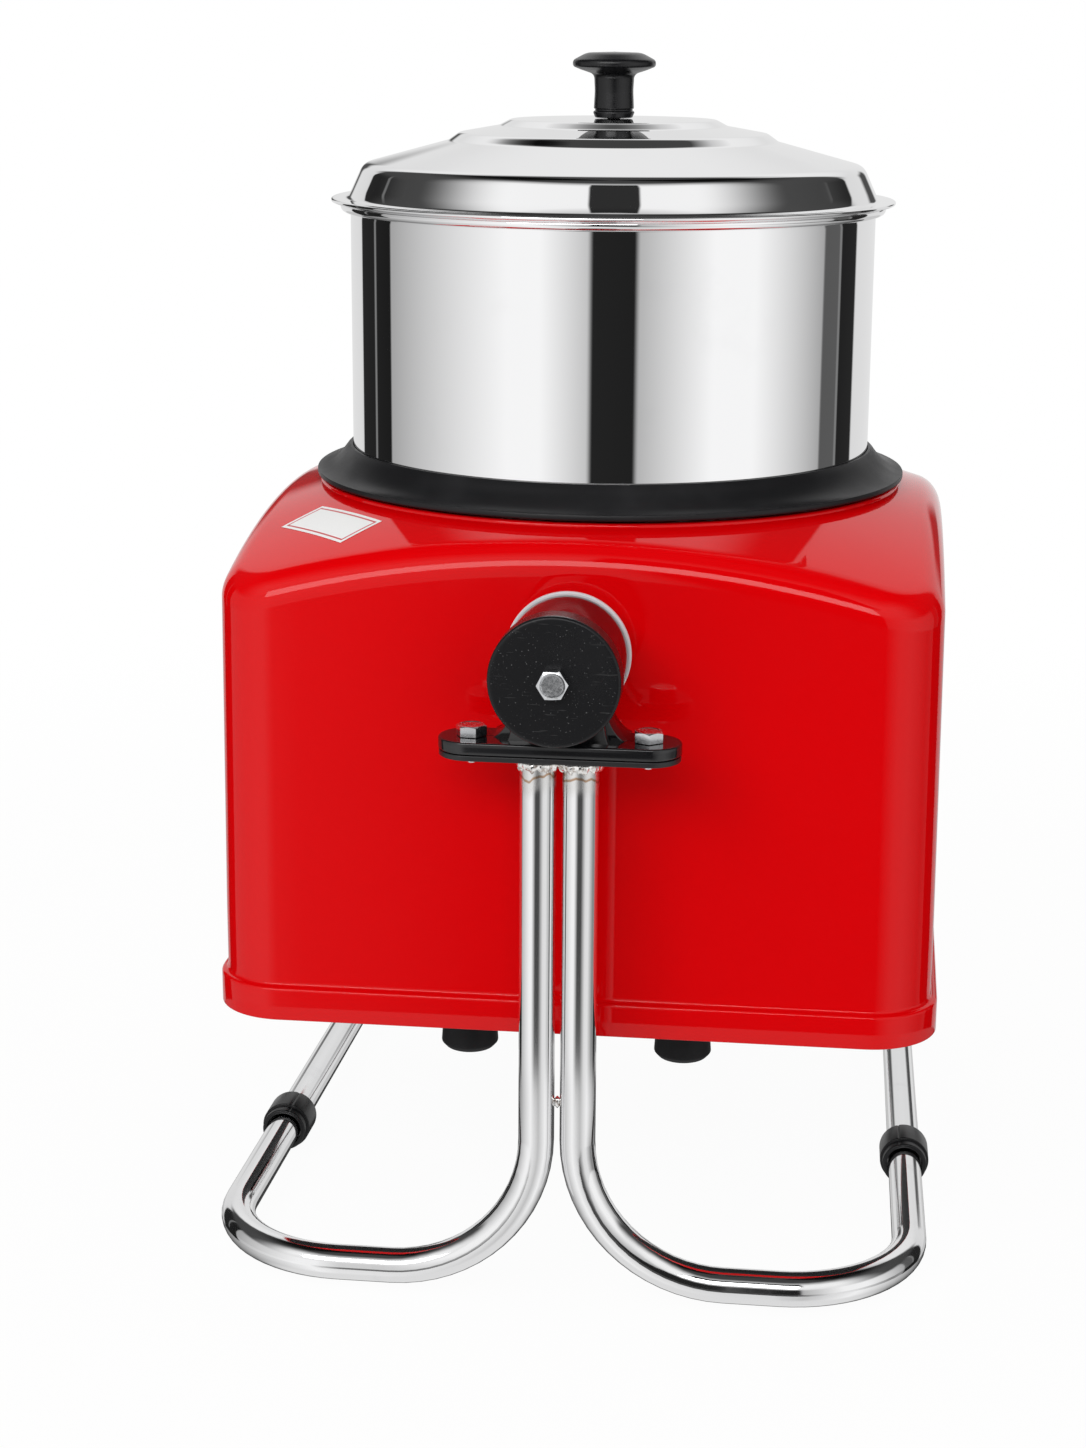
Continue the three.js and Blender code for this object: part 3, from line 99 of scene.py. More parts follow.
def rounded(corners, steps=5):
    """Closed outline from (x, y, radius) corners, each turned by an arc tangent to both of its edges.

    A corner with no radius, or one that hardly turns, stays a point. No arc takes over 0.49 of an edge.
    """
    count = len(corners)
    outline = []
    for k in range(count):
        here = np.array(corners[k][:2], float)
        radius = corners[k][2] if len(corners[k]) > 2 else 0.0
        if radius <= 0:
            outline.append(here)
            continue
        back = np.array(corners[k - 1][:2], float) - here
        ahead = np.array(corners[(k + 1) % count][:2], float) - here
        back_len, ahead_len = np.linalg.norm(back), np.linalg.norm(ahead)
        back, ahead = back / back_len, ahead / ahead_len
        half = math.acos(max(-1.0, min(1.0, float(back @ ahead)))) / 2
        if half > math.pi / 2 - LEAST_TURN:
            outline.append(here)
            continue
        reach = min(radius / math.tan(half), EDGE_SHARE * back_len, EDGE_SHARE * ahead_len)
        radius = reach * math.tan(half)
        middle = here + (back + ahead) / np.linalg.norm(back + ahead) * radius / math.sin(half)
        start = math.atan2(*(here + back * reach - middle)[::-1])
        end = math.atan2(*(here + ahead * reach - middle)[::-1])
        sweep = (end - start + math.pi) % TAU - math.pi
        for i in range(steps + 1):
            angle = start + sweep * i / steps
            outline.append(middle + radius * np.array([math.cos(angle), math.sin(angle)]))
    return np.array(outline)


LEAST_TURN = 0.02
EDGE_SHARE = 0.49
LONG_EDGE = 3.2


def braced(outline, gap=1.0):
    """Closed outline with a point a gap from both ends of each long edge, so that flat parts shade flat."""
    points = []
    for k, here in enumerate(outline):
        here, ahead = np.asarray(here, float), np.asarray(outline[(k + 1) % len(outline)], float)
        step = ahead - here
        reach = np.linalg.norm(step)
        points.append(here)
        if reach > LONG_EDGE * gap:
            points += [here + step * gap / reach, ahead - step * gap / reach]
    return np.array(points)


def spun(profile, sides):
    """Grid of a profile (radius, height) turned about Z: (r cos t, r sin t, h), t from 0 to a full turn."""
    profile = np.asarray(profile, float)
    angle = np.arange(sides) * TAU / sides
    grid = np.empty((sides, len(profile), 3))
    grid[:, :, 0] = np.cos(angle)[:, None] * profile[None, :, 0]
    grid[:, :, 1] = np.sin(angle)[:, None] * profile[None, :, 0]
    grid[:, :, 2] = profile[None, :, 1]
    return grid


def quads(rows, columns, closed_rows=True, closed_columns=True):
    """Faces (i, j), (i + 1, j), (i + 1, j + 1), (i, j + 1) of a grid, going round where it is closed."""
    i = np.arange(rows if closed_rows else rows - 1)
    j = np.arange(columns if closed_columns else columns - 1)
    i, j = np.meshgrid(i, j, indexing="ij")
    i2, j2 = (i + 1) % rows, (j + 1) % columns
    corners = [i * columns + j, i2 * columns + j, i2 * columns + j2, i * columns + j2]
    return np.stack(corners, -1).reshape(-1, 4)


class Shape:
    """Gathers closed grids and faces in millimetres and makes them one mesh object."""

    def __init__(self):
        self.points = []
        self.faces = []
        self.count = 0

    def add(self, points, faces):
        points = np.asarray(points, float).reshape(-1, 3)
        self.faces += [tuple(int(v) + self.count for v in face) for face in faces]
        self.points.append(points)
        self.count += len(points)
        return self

    def grid(self, grid):
        return self.add(grid, quads(*grid.shape[:2]))

    def turned(self, profile, sides, place=None):
        grid = spun(braced(profile), sides)
        return self.grid(grid if place is None else place(grid))

    def build(self, name, body, slot, cad=(), sharp=32.0):
        """Makes the object: doubles merged, normals outwards, edges over an angle in degrees kept sharp."""
        mesh = bpy.data.meshes.new(name)
        mesh.from_pydata((np.concatenate(self.points) * MM).tolist(), [], self.faces)
        work = bmesh.new()
        work.from_mesh(mesh)
        bmesh.ops.remove_doubles(work, verts=work.verts, dist=MERGE_DISTANCE)
        bmesh.ops.dissolve_degenerate(work, edges=work.edges, dist=MERGE_DISTANCE / 2)
        bmesh.ops.recalc_face_normals(work, faces=work.faces)
        work.to_mesh(mesh)
        work.free()
        mesh.polygons.foreach_set("use_smooth", np.ones(len(mesh.polygons), dtype=bool))
        mesh.set_sharp_from_angle(angle=math.radians(sharp))
        piece = bpy.data.objects.new(name, mesh)
        bpy.context.scene.collection.objects.link(piece)
        mesh.materials.append(finish(slot))
        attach(piece, body)
        if cad:
            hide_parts(*cad)
        return piece


def moved(x=0.0, y=0.0, z=0.0):
    return lambda grid: grid + np.array([x, y, z])


def trunnion(side):
    """Places a shape turned about Z along the trunnion axis: its height is the distance outwards."""
    def place(grid):
        out = np.empty_like(grid)
        out[..., 0] = -side * grid[..., 0]
        out[..., 1] = side * grid[..., 2]
        out[..., 2] = AXIS_Z + grid[..., 1]
        return out
    return place


def mirrored_end(side):
    """Turns a shape made for the front end half round Z where it is for the rear end."""
    return lambda grid: grid * np.array([-side, -side, 1.0]) if side > 0 else grid


# Node materials

class Value:
    """A socket of a material's nodes; arithmetic on it adds Math nodes."""

    def __init__(self, paint, socket):
        self.paint = paint
        self.socket = socket

    def math(self, kind, other=0.0, flip=False):
        node = self.paint.tree.nodes.new("ShaderNodeMath")
        node.operation = kind
        pair = [other, self] if flip else [self, other]
        for socket, item in zip(node.inputs, pair):
            self.paint.feed(socket, item)
        return Value(self.paint, node.outputs[0])

    def __add__(self, other):
        return self.math("ADD", other)

    __radd__ = __add__

    def __mul__(self, other):
        return self.math("MULTIPLY", other)

    __rmul__ = __mul__

    def __sub__(self, other):
        return self.math("SUBTRACT", other)

    def __rsub__(self, other):
        return self.math("SUBTRACT", other, flip=True)

    def __truediv__(self, other):
        return self.math("DIVIDE", other)

    def between(self, low, high):
        """0 below low, 1 above high and smooth between."""
        node = self.paint.tree.nodes.new("ShaderNodeMapRange")
        node.interpolation_type = "SMOOTHSTEP"
        self.paint.feed(node.inputs["Value"], self)
        node.inputs["From Min"].default_value = low
        node.inputs["From Max"].default_value = high
        return Value(self.paint, node.outputs["Result"])

    def within(self, middle, half, edge):
        """1 closer to the middle than half, 0 beyond half plus edge and smooth between."""
        return 1.0 - (self - middle).math("ABSOLUTE").between(half, half + edge)


class Nodes:
    """A node tree and the few ways in which nodes are added to it."""

    def __init__(self, tree):
        self.tree = tree

    def feed(self, socket, item):
        if isinstance(item, Value):
            self.tree.links.new(item.socket, socket)
        elif isinstance(item, (tuple, list)) and len(item) == 3 and len(socket.default_value) == 4:
            socket.default_value = (*item, 1.0)
        else:
            socket.default_value = item

    def node(self, kind, output, settings=None, **inputs):
        node = self.tree.nodes.new(kind)
        for key, value in (settings or {}).items():
            setattr(node, key, value)
        for key, value in inputs.items():
            self.feed(node.inputs[key.replace("_", " ")], value)
        return Value(self, node.outputs[output])

    def place(self, scale=(1.0, 1.0, 1.0)):
        """The place on the object in metres, stretched by a factor along each axis."""
        source = self.node("ShaderNodeTexCoord", "Object")
        return self.node("ShaderNodeMapping", "Vector", Vector=source, Scale=scale)

    def axis(self, index):
        source = self.node("ShaderNodeTexCoord", "Object")
        return self.node("ShaderNodeSeparateXYZ", index, Vector=source)

    def noise(self, place, scale, detail=3.0, roughness=0.55):
        return self.node("ShaderNodeTexNoise", "Fac", Vector=place, Scale=scale, Detail=detail,
                         Roughness=roughness)

    def cells(self, place, scale):
        """The distance to the nearest of the points strewn through space."""
        return self.node("ShaderNodeTexVoronoi", "Distance", Vector=place, Scale=scale)

    def ramp(self, value, stops):
        """A level that runs straight between stops of (value, level)."""
        low, high = stops[0][0], stops[-1][0]
        node = self.tree.nodes.new("ShaderNodeValToRGB")
        bar = node.color_ramp.elements
        bar[0].color = (*[stops[0][1]] * 3, 1.0)
        bar[1].color = (*[stops[-1][1]] * 3, 1.0)
        for place, level in stops[1:-1]:
            bar.new((place - low) / (high - low)).color = (level, level, level, 1.0)
        self.feed(node.inputs["Fac"], (value - low) / (high - low))
        return Value(self, node.outputs["Color"])

    def mix(self, factor, first, second):
        node = self.tree.nodes.new("ShaderNodeMix")
        node.data_type = "RGBA"
        self.feed(node.inputs[0], factor)
        self.feed(node.inputs[6], first)
        self.feed(node.inputs[7], second)
        return Value(self, node.outputs[2])


class Paint(Nodes):
    """A Principled material and the nodes that feed it."""

    def __init__(self, name, color, roughness, metallic=0.0, **uniform):
        self.material = bpy.data.materials.new(name)
        self.material.use_nodes = True
        super().__init__(self.material.node_tree)
        self.shader = self.tree.nodes["Principled BSDF"]
        self.put("Base Color", (*color, 1.0))
        self.put("Roughness", roughness)
        self.put("Metallic", metallic)
        for key, value in uniform.items():
            self.put(key.replace("_", " "), value)

    def put(self, name, value):
        self.feed(self.shader.inputs[name], value)
        return self

    def bump(self, height, distance, strength=1.0):
        bumped = self.node("ShaderNodeBump", "Normal", Height=height, Distance=distance, Strength=strength)
        return self.put("Normal", bumped)


def polished_sheet(name, rings):
    """Mirror-polished stainless: faint polishing lines, soft waves in the sheet and a few smudges."""
    paint = Paint(name, (0.9, 0.9, 0.905), 0.05, 1.0)
    lines = paint.noise(paint.place(rings), 1.0, 2.0)
    smudge = paint.noise(paint.place(), 26.0, 4.0).between(0.55, 0.8)
    speck = paint.noise(paint.place(), 900.0, 2.0).between(0.74, 0.8)
    paint.put("Roughness", 0.01 + lines * 0.02 + smudge * 0.03 + speck * 0.1)
    paint.put("Base Color", paint.mix(smudge * 0.3, (0.91, 0.91, 0.915), (0.82, 0.82, 0.83)))
    return paint.bump(lines, 0.000003, 0.12)


def drawn_tube(name):
    """Bright stainless tube: drawing lines, handling marks, and a haze and a brown line by the top weld."""
    paint = Paint(name, (0.86, 0.86, 0.865), 0.1, 1.0)
    lines = paint.noise(paint.place((1400.0, 1400.0, 25.0)), 1.0, 2.0)
    marks = paint.noise(paint.place((60.0, 60.0, 18.0)), 1.0, 4.0).between(0.55, 0.8)
    wave = paint.noise(paint.place((1.0, 1.0, 0.0)), 110.0, 2.0) - 0.5
    level = paint.axis(2) + wave * TINT_WAVE
    haze = level.between(HAZE_FOOT, HAZE_FOOT + HAZE_FADE)
    brown = level.between(*BROWN_FOOT) * (1.0 - level.between(*BROWN_TOP))
    scorch = level.between(*SCORCH_FOOT) * paint.noise(paint.place(), 300.0, 3.0).between(0.45, 0.6)
    plain = paint.mix(marks * 0.3, (0.87, 0.87, 0.875), (0.7, 0.7, 0.71))
    plain = paint.mix(haze * 0.6, plain, (0.74, 0.73, 0.71))
    plain = paint.mix(brown * 0.85, plain, (0.42, 0.24, 0.12))
    paint.put("Base Color", paint.mix(scorch * 0.8, plain, (0.2, 0.14, 0.11)))
    paint.put("Roughness", 0.055 + lines * 0.03 + marks * 0.05 + haze * 0.2)
    return paint.bump(lines, 0.000004, 0.12)


# Heights of the weld's heat tints, in metres
TINT_WAVE = 0.011
HAZE_FOOT = 0.236
HAZE_FADE = 0.006
BROWN_FOOT = (0.2445, 0.2452)
BROWN_TOP = (0.2455, 0.2464)
SCORCH_FOOT = (0.2497, 0.2522)


def zinc_plate(name):
    """Zinc plating: bright grey with a cloudy crystalline mottle and small dull spots."""
    paint = Paint(name, (0.72, 0.73, 0.75), 0.2, 1.0)
    cloud = paint.cells(paint.place(), 900.0)
    soft = paint.noise(paint.place(), 160.0, 4.0)
    spot = paint.noise(paint.place(), 420.0, 3.0).between(0.6, 0.72)
    paint.put("Base Color", paint.mix(spot * 0.6, paint.mix(soft, (0.82, 0.83, 0.85), (0.6, 0.61, 0.63)),
                                      (0.42, 0.41, 0.4)))
    paint.put("Roughness", 0.14 + cloud * 0.12 + spot * 0.2)
    return paint.bump(soft, 0.00003, 0.4)


def turned_steel(name, color, roughness):
    """Machined steel: fine tool marks and a thin film of oil in patches."""
    paint = Paint(name, color, roughness, 1.0)
    marks = paint.noise(paint.place((300.0, 300.0, 2600.0)), 1.0, 2.0)
    oil = paint.noise(paint.place(), 45.0, 4.0).between(0.45, 0.7)
    paint.put("Base Color", paint.mix(oil * 0.5, color, tuple(0.7 * part for part in color)))
    paint.put("Roughness", roughness * 0.8 + marks * 0.14 + oil * 0.08)
    return paint.bump(marks, 0.00001, 0.4)


def moulded(name, color, roughness, grain=0.0, dust=0.25, swell=0.00003, film=0.06, spot=1500.0, pale=0.07,
            **uniform):
    """Moulded plastic: slow swells of the mould, fine grain, hairline scratches and settled dust.

    swell is the depth of the swells in metres, grain that of the grain as a share of GRAIN_DEPTH, dust and
    film how much of the specks and of the dull veil shows, spot how fine the specks are and pale how light.
    """
    paint = Paint(name, color, roughness, 0.0, **uniform)
    slow = paint.noise(paint.place(), 22.0, 2.0)
    fine = paint.noise(paint.place(), 2400.0, 2.0)
    scratch = paint.noise(paint.place((90.0, 2600.0, 900.0)), 1.0, 1.0).between(0.68, 0.76)
    specks = paint.noise(paint.place(), spot, 1.0).between(0.71, 0.78)
    veil = paint.noise(paint.place(), 34.0, 5.0).between(0.42, 0.8)
    dusty = tuple(0.86 * part + pale for part in color)
    paint.put("Base Color", paint.mix((specks + scratch * 0.12) * dust, color, dusty))
    paint.put("Roughness", roughness + veil * film + (scratch + specks) * 0.15 * dust + fine * grain * 0.2)
    return paint.bump(slow * swell / GRAIN_DEPTH + fine * grain, GRAIN_DEPTH, 0.7)


GRAIN_DEPTH = 0.00001


def rubbery(name, color, roughness, grain=1.0, **uniform):
    """Matte rubber: pebbled grain, greyish bloom and worn lighter places."""
    paint = Paint(name, color, roughness, 0.0, **uniform)
    pebble = paint.cells(paint.place(), 1300.0)
    bloom = paint.noise(paint.place(), 30.0, 5.0).between(0.4, 0.75)
    paint.put("Base Color", paint.mix(bloom * 0.55, color, tuple(part * 1.7 + 0.004 for part in color)))
    paint.put("Roughness", roughness + bloom * 0.1 - pebble * 0.05)
    return paint.bump(pebble * grain, 0.00003, 0.5)


def granite(name):
    """Dressed granite: grey ground with black mica, white feldspar and dressing pits."""
    paint = Paint(name, (0.2, 0.2, 0.21), 0.6)
    ground = paint.noise(paint.place(), 240.0, 5.0)
    mica = paint.cells(paint.place(), 420.0).between(0.16, 0.3)
    spar = paint.cells(paint.place((1.0, 1.3, 0.9)), 260.0).between(0.12, 0.26)
    stone = paint.mix(ground, (0.1, 0.1, 0.105), (0.34, 0.34, 0.35))
    stone = paint.mix(spar, (0.58, 0.57, 0.56), stone)
    paint.put("Base Color", paint.mix(mica, (0.02, 0.02, 0.022), stone))
    pits = paint.noise(paint.place(), 900.0, 3.0)
    paint.put("Roughness", 0.45 + pits * 0.3)
    return paint.bump(pits + ground * 0.5, 0.00012, 0.6)


def cast_metal(name):
    """Die-cast aluminium: matt grain and flow marks."""
    paint = Paint(name, (0.58, 0.59, 0.61), 0.4, 1.0)
    grain = paint.noise(paint.place(), 1600.0, 3.0)
    flow = paint.noise(paint.place((30.0, 30.0, 80.0)), 1.0, 4.0)
    paint.put("Base Color", paint.mix(flow, (0.66, 0.67, 0.69), (0.46, 0.47, 0.49)))
    paint.put("Roughness", 0.32 + grain * 0.2)
    return paint.bump(grain, 0.00003, 0.5)


def sintered(name):
    """Oil-filled sintered bronze: tiny pores and darker oil patches."""
    paint = Paint(name, (0.5, 0.33, 0.16), 0.4, 1.0)
    pores = paint.cells(paint.place(), 2600.0).between(0.1, 0.3)
    oil = paint.noise(paint.place(), 60.0, 3.0)
    paint.put("Base Color", paint.mix(oil, (0.55, 0.37, 0.18), (0.36, 0.22, 0.1)))
    paint.put("Roughness", 0.5 - pores * 0.16)
    return paint.bump(pores, 0.00002, 0.5)


def weld_metal(name):
    """Weld metal: bright rippled beads with brown scorch in the hollows."""
    paint = Paint(name, (0.85, 0.84, 0.82), 0.22, 1.0)
    ripple = paint.noise(paint.place(), 520.0, 3.0)
    scorch = ripple.between(0.5, 0.66)
    paint.put("Base Color", paint.mix(scorch * 0.7, (0.93, 0.92, 0.9), (0.36, 0.26, 0.2)))
    paint.put("Roughness", 0.12 + scorch * 0.25)
    return paint.bump(ripple, 0.0003, 0.7)


def printed_label(name):
    """Blank white film label with a thin red line inside its edge, placed by U and V from 0 to 1 over it.

    The distance in millimetres to the nearest edge is the least of u l, (1 - u) l, v d and (1 - v) d.
    """
    paint = Paint(name, (0.86, 0.86, 0.85), 0.3)
    place = paint.node("ShaderNodeUVMap", "UV", {"uv_map": "label"})
    parts = [paint.node("ShaderNodeSeparateXYZ", axis, Vector=place) for axis in (0, 1)]
    inset = [part.math("MINIMUM", 1.0 - part) for part in parts]
    edge = (inset[0] * LABEL_LENGTH).math("MINIMUM", inset[1] * LABEL_DEPTH)
    line = edge.within(KEYLINE_INSET, KEYLINE_HALF, KEYLINE_FADE)
    fibre = paint.noise(paint.place(), 1500.0, 2.0)
    paper = paint.mix(fibre, (0.88, 0.88, 0.87), (0.82, 0.82, 0.81))
    paint.put("Base Color", paint.mix(line, paper, (0.55, 0.01, 0.02)))
    paint.put("Roughness", 0.26 + fibre * 0.1)
    return paint.bump(fibre, 0.00001, 0.4)


LABEL_LENGTH = 48.5
LABEL_DEPTH = 22.8
KEYLINE_INSET = 2.2
KEYLINE_HALF = 0.4
KEYLINE_FADE = 0.2

FINISHES = {
    "stainless": lambda n: polished_sheet(n, (3.0, 3.0, 2400.0)),
    "stainless_tube": drawn_tube,
    "zinc": zinc_plate,
    "steel": lambda n: turned_steel(n, (0.56, 0.57, 0.59), 0.3),
    "black_steel": lambda n: moulded(n, (0.009, 0.009, 0.01), 0.22, grain=1.5, dust=0.2),
    "red_plastic": lambda n: moulded(n, (0.7, 0.0004, 0.002), 0.035, dust=0.02, swell=0.000008,
                                     film=0.025, Specular_IOR_Level=0.26),
    "black_moulding": lambda n: moulded(n, (0.007, 0.007, 0.008), 0.1, dust=0.15, Specular_IOR_Level=0.6),
    "cap_plastic": lambda n: moulded(n, (0.008, 0.008, 0.009), 0.19, grain=0.6, dust=0.6, spot=1250.0,
                                     pale=0.2, Specular_IOR_Level=0.24),
    "black_plastic": lambda n: moulded(n, (0.005, 0.005, 0.006), 0.23, grain=0.3, dust=0.2,
                                       Specular_IOR_Level=0.4),
    "black_sleeve": lambda n: moulded(n, (0.006, 0.006, 0.007), 0.24, grain=0.8, dust=0.25,
                                      Specular_IOR_Level=0.34),
    "pale_nylon": lambda n: moulded(n, (0.66, 0.62, 0.64), 0.4, grain=0.6, dust=0.1, Subsurface_Weight=0.1),
    "bronze": sintered,
    "foot_rubber": lambda n: rubbery(n, (0.009, 0.009, 0.01), 0.6, Specular_IOR_Level=0.22),
    "belt_rubber": lambda n: rubbery(n, (0.016, 0.016, 0.017), 0.65, 0.7),
    "ring_rubber": lambda n: rubbery(n, (0.008, 0.008, 0.009), 0.4, 0.5, Specular_IOR_Level=0.26),
    "granite": granite,
    "aluminium": cast_metal,
    "label": printed_label,
    "weld": weld_metal,
}
made = {}


def finish(slot):
    if slot not in made:
        made[slot] = FINISHES[slot](f"{slot}_finish").material
    return made[slot]


# Camera, floor and light

def add_camera():
    """A camera 1.3 m in front of the part, a little to its right, turned left and looking down at it.

    The focal length is in pixels of a picture 1448 high, so the lens is focal length * sensor / height.
    """
    data = bpy.data.cameras.new("camera")
    data.sensor_width = SENSOR
    data.lens = CAMERA_FOCAL * SENSOR / PICTURE_HEIGHT
    data.clip_end = CAMERA_REACH
    camera = bpy.data.objects.new("camera", data)
    turn, tilt, roll = (math.radians(a) for a in (CAMERA_TURN, CAMERA_TILT, CAMERA_ROLL))
    ahead = Vector((-math.sin(turn) * math.cos(tilt), math.cos(turn) * math.cos(tilt), -math.sin(tilt)))
    right = Vector((math.cos(turn), math.sin(turn), 0.0))
    up = right.cross(ahead)
    right, up = right * math.cos(roll) + up * math.sin(roll), up * math.cos(roll) - right * math.sin(roll)
    rotation = Matrix((right, up, -ahead)).transposed()
    camera.matrix_world = Matrix.Translation(Vector(CAMERA_PLACE) * MM) @ rotation.to_4x4()
    bpy.context.scene.collection.objects.link(camera)
    bpy.context.scene.camera = camera


SENSOR = 36.0
PICTURE_HEIGHT = 1448.0
CAMERA_REACH = 50.0
CAMERA_FOCAL = 2688.9
CAMERA_TURN = 7.03
CAMERA_TILT = 14.77
CAMERA_ROLL = 0.33
CAMERA_PLACE = (128.2, -1300.2, 559.4)


def staged_plane(name, corners, material):
    mesh = bpy.data.meshes.new(name)
    mesh.from_pydata([tuple(c) for c in corners], [], [(0, 1, 2, 3)])
    mesh.materials.append(material)
    plane = bpy.data.objects.new(name, mesh)
    bpy.context.scene.collection.objects.link(plane)
    return plane


def add_floor():
    """A pale floor that is white to the camera, whitest far out, and still takes the object's shadow."""
    paint = Paint("floor_finish", (0.8, 0.8, 0.8), 0.9, Specular_IOR_Level=0.0)
    far = paint.node("ShaderNodeVectorMath", "Value", {"operation": "LENGTH"},
                     Vector=paint.node("ShaderNodeTexCoord", "Object")).between(*FLOOR_FADE)
    share = paint.node("ShaderNodeLightPath", "Is Camera Ray") * (FLOOR_WHITE + far * (1.0 - FLOOR_WHITE))
    white = paint.node("ShaderNodeEmission", "Emission")
    both = paint.tree.nodes.new("ShaderNodeMixShader")
    paint.feed(both.inputs[0], share)
    paint.tree.links.new(paint.shader.outputs[0], both.inputs[1])
    paint.tree.links.new(white.socket, both.inputs[2])
    paint.tree.links.new(both.outputs[0], paint.tree.nodes["Material Output"].inputs[0])
    edge = FLOOR_REACH
    corners = [(-edge, -edge, 0), (edge, -edge, 0), (edge, edge, 0), (-edge, edge, 0)]
    floor = staged_plane("floor", corners, paint.material)
    floor.visible_glossy = False


FLOOR_REACH = 12
FLOOR_WHITE = 0.96
FLOOR_FADE = (0.45, 1.3)


def add_world():
    """White to the camera, to mirrors a white studio with dark gaps, and a plain level for its light.

    The mirrored studio follows the bearing round the object, from the front, and z, the sine of the height.
    A wide soft box stands on each side of the camera and a pale wall behind, with a dark gap between box and
    wall on either side. The table is below TABLE_TOP: it darkens to the back and is even straight down. Over
    it lie a low belt that is dark about the camera and a middle belt with a narrow gap there, both with the
    two rear gaps, and a streak in the wall. Above are the tops of the boxes, a window and a dark ceiling.
    """
    world = bpy.data.worlds.new("studio")
    world.use_nodes = True
    bpy.context.scene.world = world
    sky = Nodes(world.node_tree)
    direction = sky.node("ShaderNodeTexCoord", "Generated")
    x, y, z = (sky.node("ShaderNodeSeparateXYZ", k, Vector=direction) for k in range(3))
    bearing = x.math("ARCTAN2", y * -1.0) * math.degrees(1.0)
    side = bearing.math("ABSOLUTE")
    lit = 1.0 - (bearing.within(*LEFT_GAP) + bearing.within(*RIGHT_GAP)) * GAP_DEPTH
    low = sky.ramp(bearing, LOW_BELT) * lit
    middle = sky.ramp(bearing, MIDDLE_BELT) * lit * (1.0 - bearing.within(*CAMERA_GAP) * GAP_DEPTH)
    for place, half, level in GAP_LINES:
        middle = middle + bearing.within(place, half, GAP_LINE_EDGE) * level
    front = sky.ramp(z, FRONT_HEIGHTS)
    back = sky.ramp(z, BACK_HEIGHTS)
    gap = side.between(*HIGH_GAP_START) * (1.0 - side.between(*HIGH_GAP_END))
    window = bearing.within(*WINDOW) * z.between(*WINDOW_FOOT) * (1.0 - z.between(*WINDOW_TOP))
    high = front + (back - front) * side.between(*BACK_START)
    high = high * (1.0 - gap * HIGH_GAP_DEPTH) * (1.0 - window * GAP_DEPTH)
    table = sky.ramp(bearing, TABLE_BELT)
    table = table + (TABLE_LEVEL - table) * (1.0 - z.between(*TABLE_FADE))
    mirror = table + (low - table) * z.between(*TABLE_TOP)
    mirror = mirror + (middle - mirror) * z.between(*LOW_TOP)
    streak = side.within(*STREAK) * z.between(*STREAK_FOOT) * (1.0 - z.between(*STREAK_TOP))
    mirror = mirror + (high - mirror) * z.between(*MIDDLE_TOP)
    mirror = mirror * (1.0 - streak * STREAK_DEPTH)
    camera = sky.node("ShaderNodeLightPath", "Is Camera Ray")
    glossy = sky.node("ShaderNodeLightPath", "Is Glossy Ray")
    level = WORLD_LIGHT + (mirror - WORLD_LIGHT) * glossy
    sky.feed(sky.tree.nodes["Background"].inputs["Color"], (1.0, 1.0, 1.0))
    sky.feed(sky.tree.nodes["Background"].inputs["Strength"], level + (1.0 - level) * camera)


# Gaps and lines as bearing, half width and edge; belts and heights as stops of (bearing or z, level)
LEFT_GAP = (-121.0, 14.0, 1.5)
RIGHT_GAP = (124.0, 13.0, 2.0)
CAMERA_GAP = (6.5, 8.5, 3.0)
GAP_DEPTH = 0.97
GAP_LINES = [(-120.0, 0.3, 0.2), (116.0, 5.0, 0.09), (122.5, 0.3, 0.2)]
GAP_LINE_EDGE = 1.2
MIDDLE_BELT = [(-180, 0.8), (-140, 0.75), (-105, 0.4), (-40, 1.0), (-25, 1.0), (-5, 0.6), (18, 0.5),
               (50, 1.0), (70, 1.0), (110, 0.4), (140, 0.75), (180, 0.8)]
LOW_BELT = [(-180, 0.6), (-105, 0.5), (-45, 1.0), (-30, 1.0), (-8, 0.07), (14, 0.07), (40, 0.8),
            (60, 0.85), (95, 0.25), (110, 0.3), (140, 0.6), (180, 0.6)]
TABLE_BELT = [(-180, 0.05), (-150, 0.1), (-30, 1.0), (20, 0.6), (65, 1.0), (160, 0.05), (180, 0.05)]
FRONT_HEIGHTS = [(0.0, 0.4), (0.34, 0.85), (0.6, 1.0), (0.74, 0.95), (0.84, 0.45), (0.91, 0.06),
                 (1.0, 0.05)]
BACK_HEIGHTS = [(0.0, 0.66), (0.3, 0.74), (0.5, 0.86), (0.66, 0.9), (0.76, 0.62), (0.84, 0.06), (1.0, 0.05)]
HIGH_GAP_START = (48.0, 98.0)
HIGH_GAP_END = (138.0, 146.0)
HIGH_GAP_DEPTH = 0.93
BACK_START = (95.0, 125.0)
WINDOW = (6.5, 12.5, 2.0)
WINDOW_FOOT = (0.6, 0.61)
WINDOW_TOP = (0.8, 0.81)
STREAK = (161.0, 3.0, 5.0)
STREAK_FOOT = (-0.02, 0.03)
STREAK_TOP = (0.15, 0.24)
STREAK_DEPTH = 0.9
TABLE_FADE = (-0.9, -0.7)
TABLE_TOP = (-0.381, -0.375)
LOW_TOP = (-0.198, -0.184)
MIDDLE_TOP = (0.26, 0.42)
TABLE_LEVEL = 0.8
WORLD_LIGHT = 0.5


def add_lamp(name, place, target, size, power, mirrored=False):
    data = bpy.data.lights.new(name, "AREA")
    data.shape = "RECTANGLE"
    data.size, data.size_y = size
    data.energy = power
    lamp = bpy.data.objects.new(name, data)
    lamp.location = place
    lamp.rotation_euler = (Vector(target) - Vector(place)).to_track_quat("-Z", "Y").to_euler()
    lamp.visible_glossy = mirrored
    bpy.context.scene.collection.objects.link(lamp)


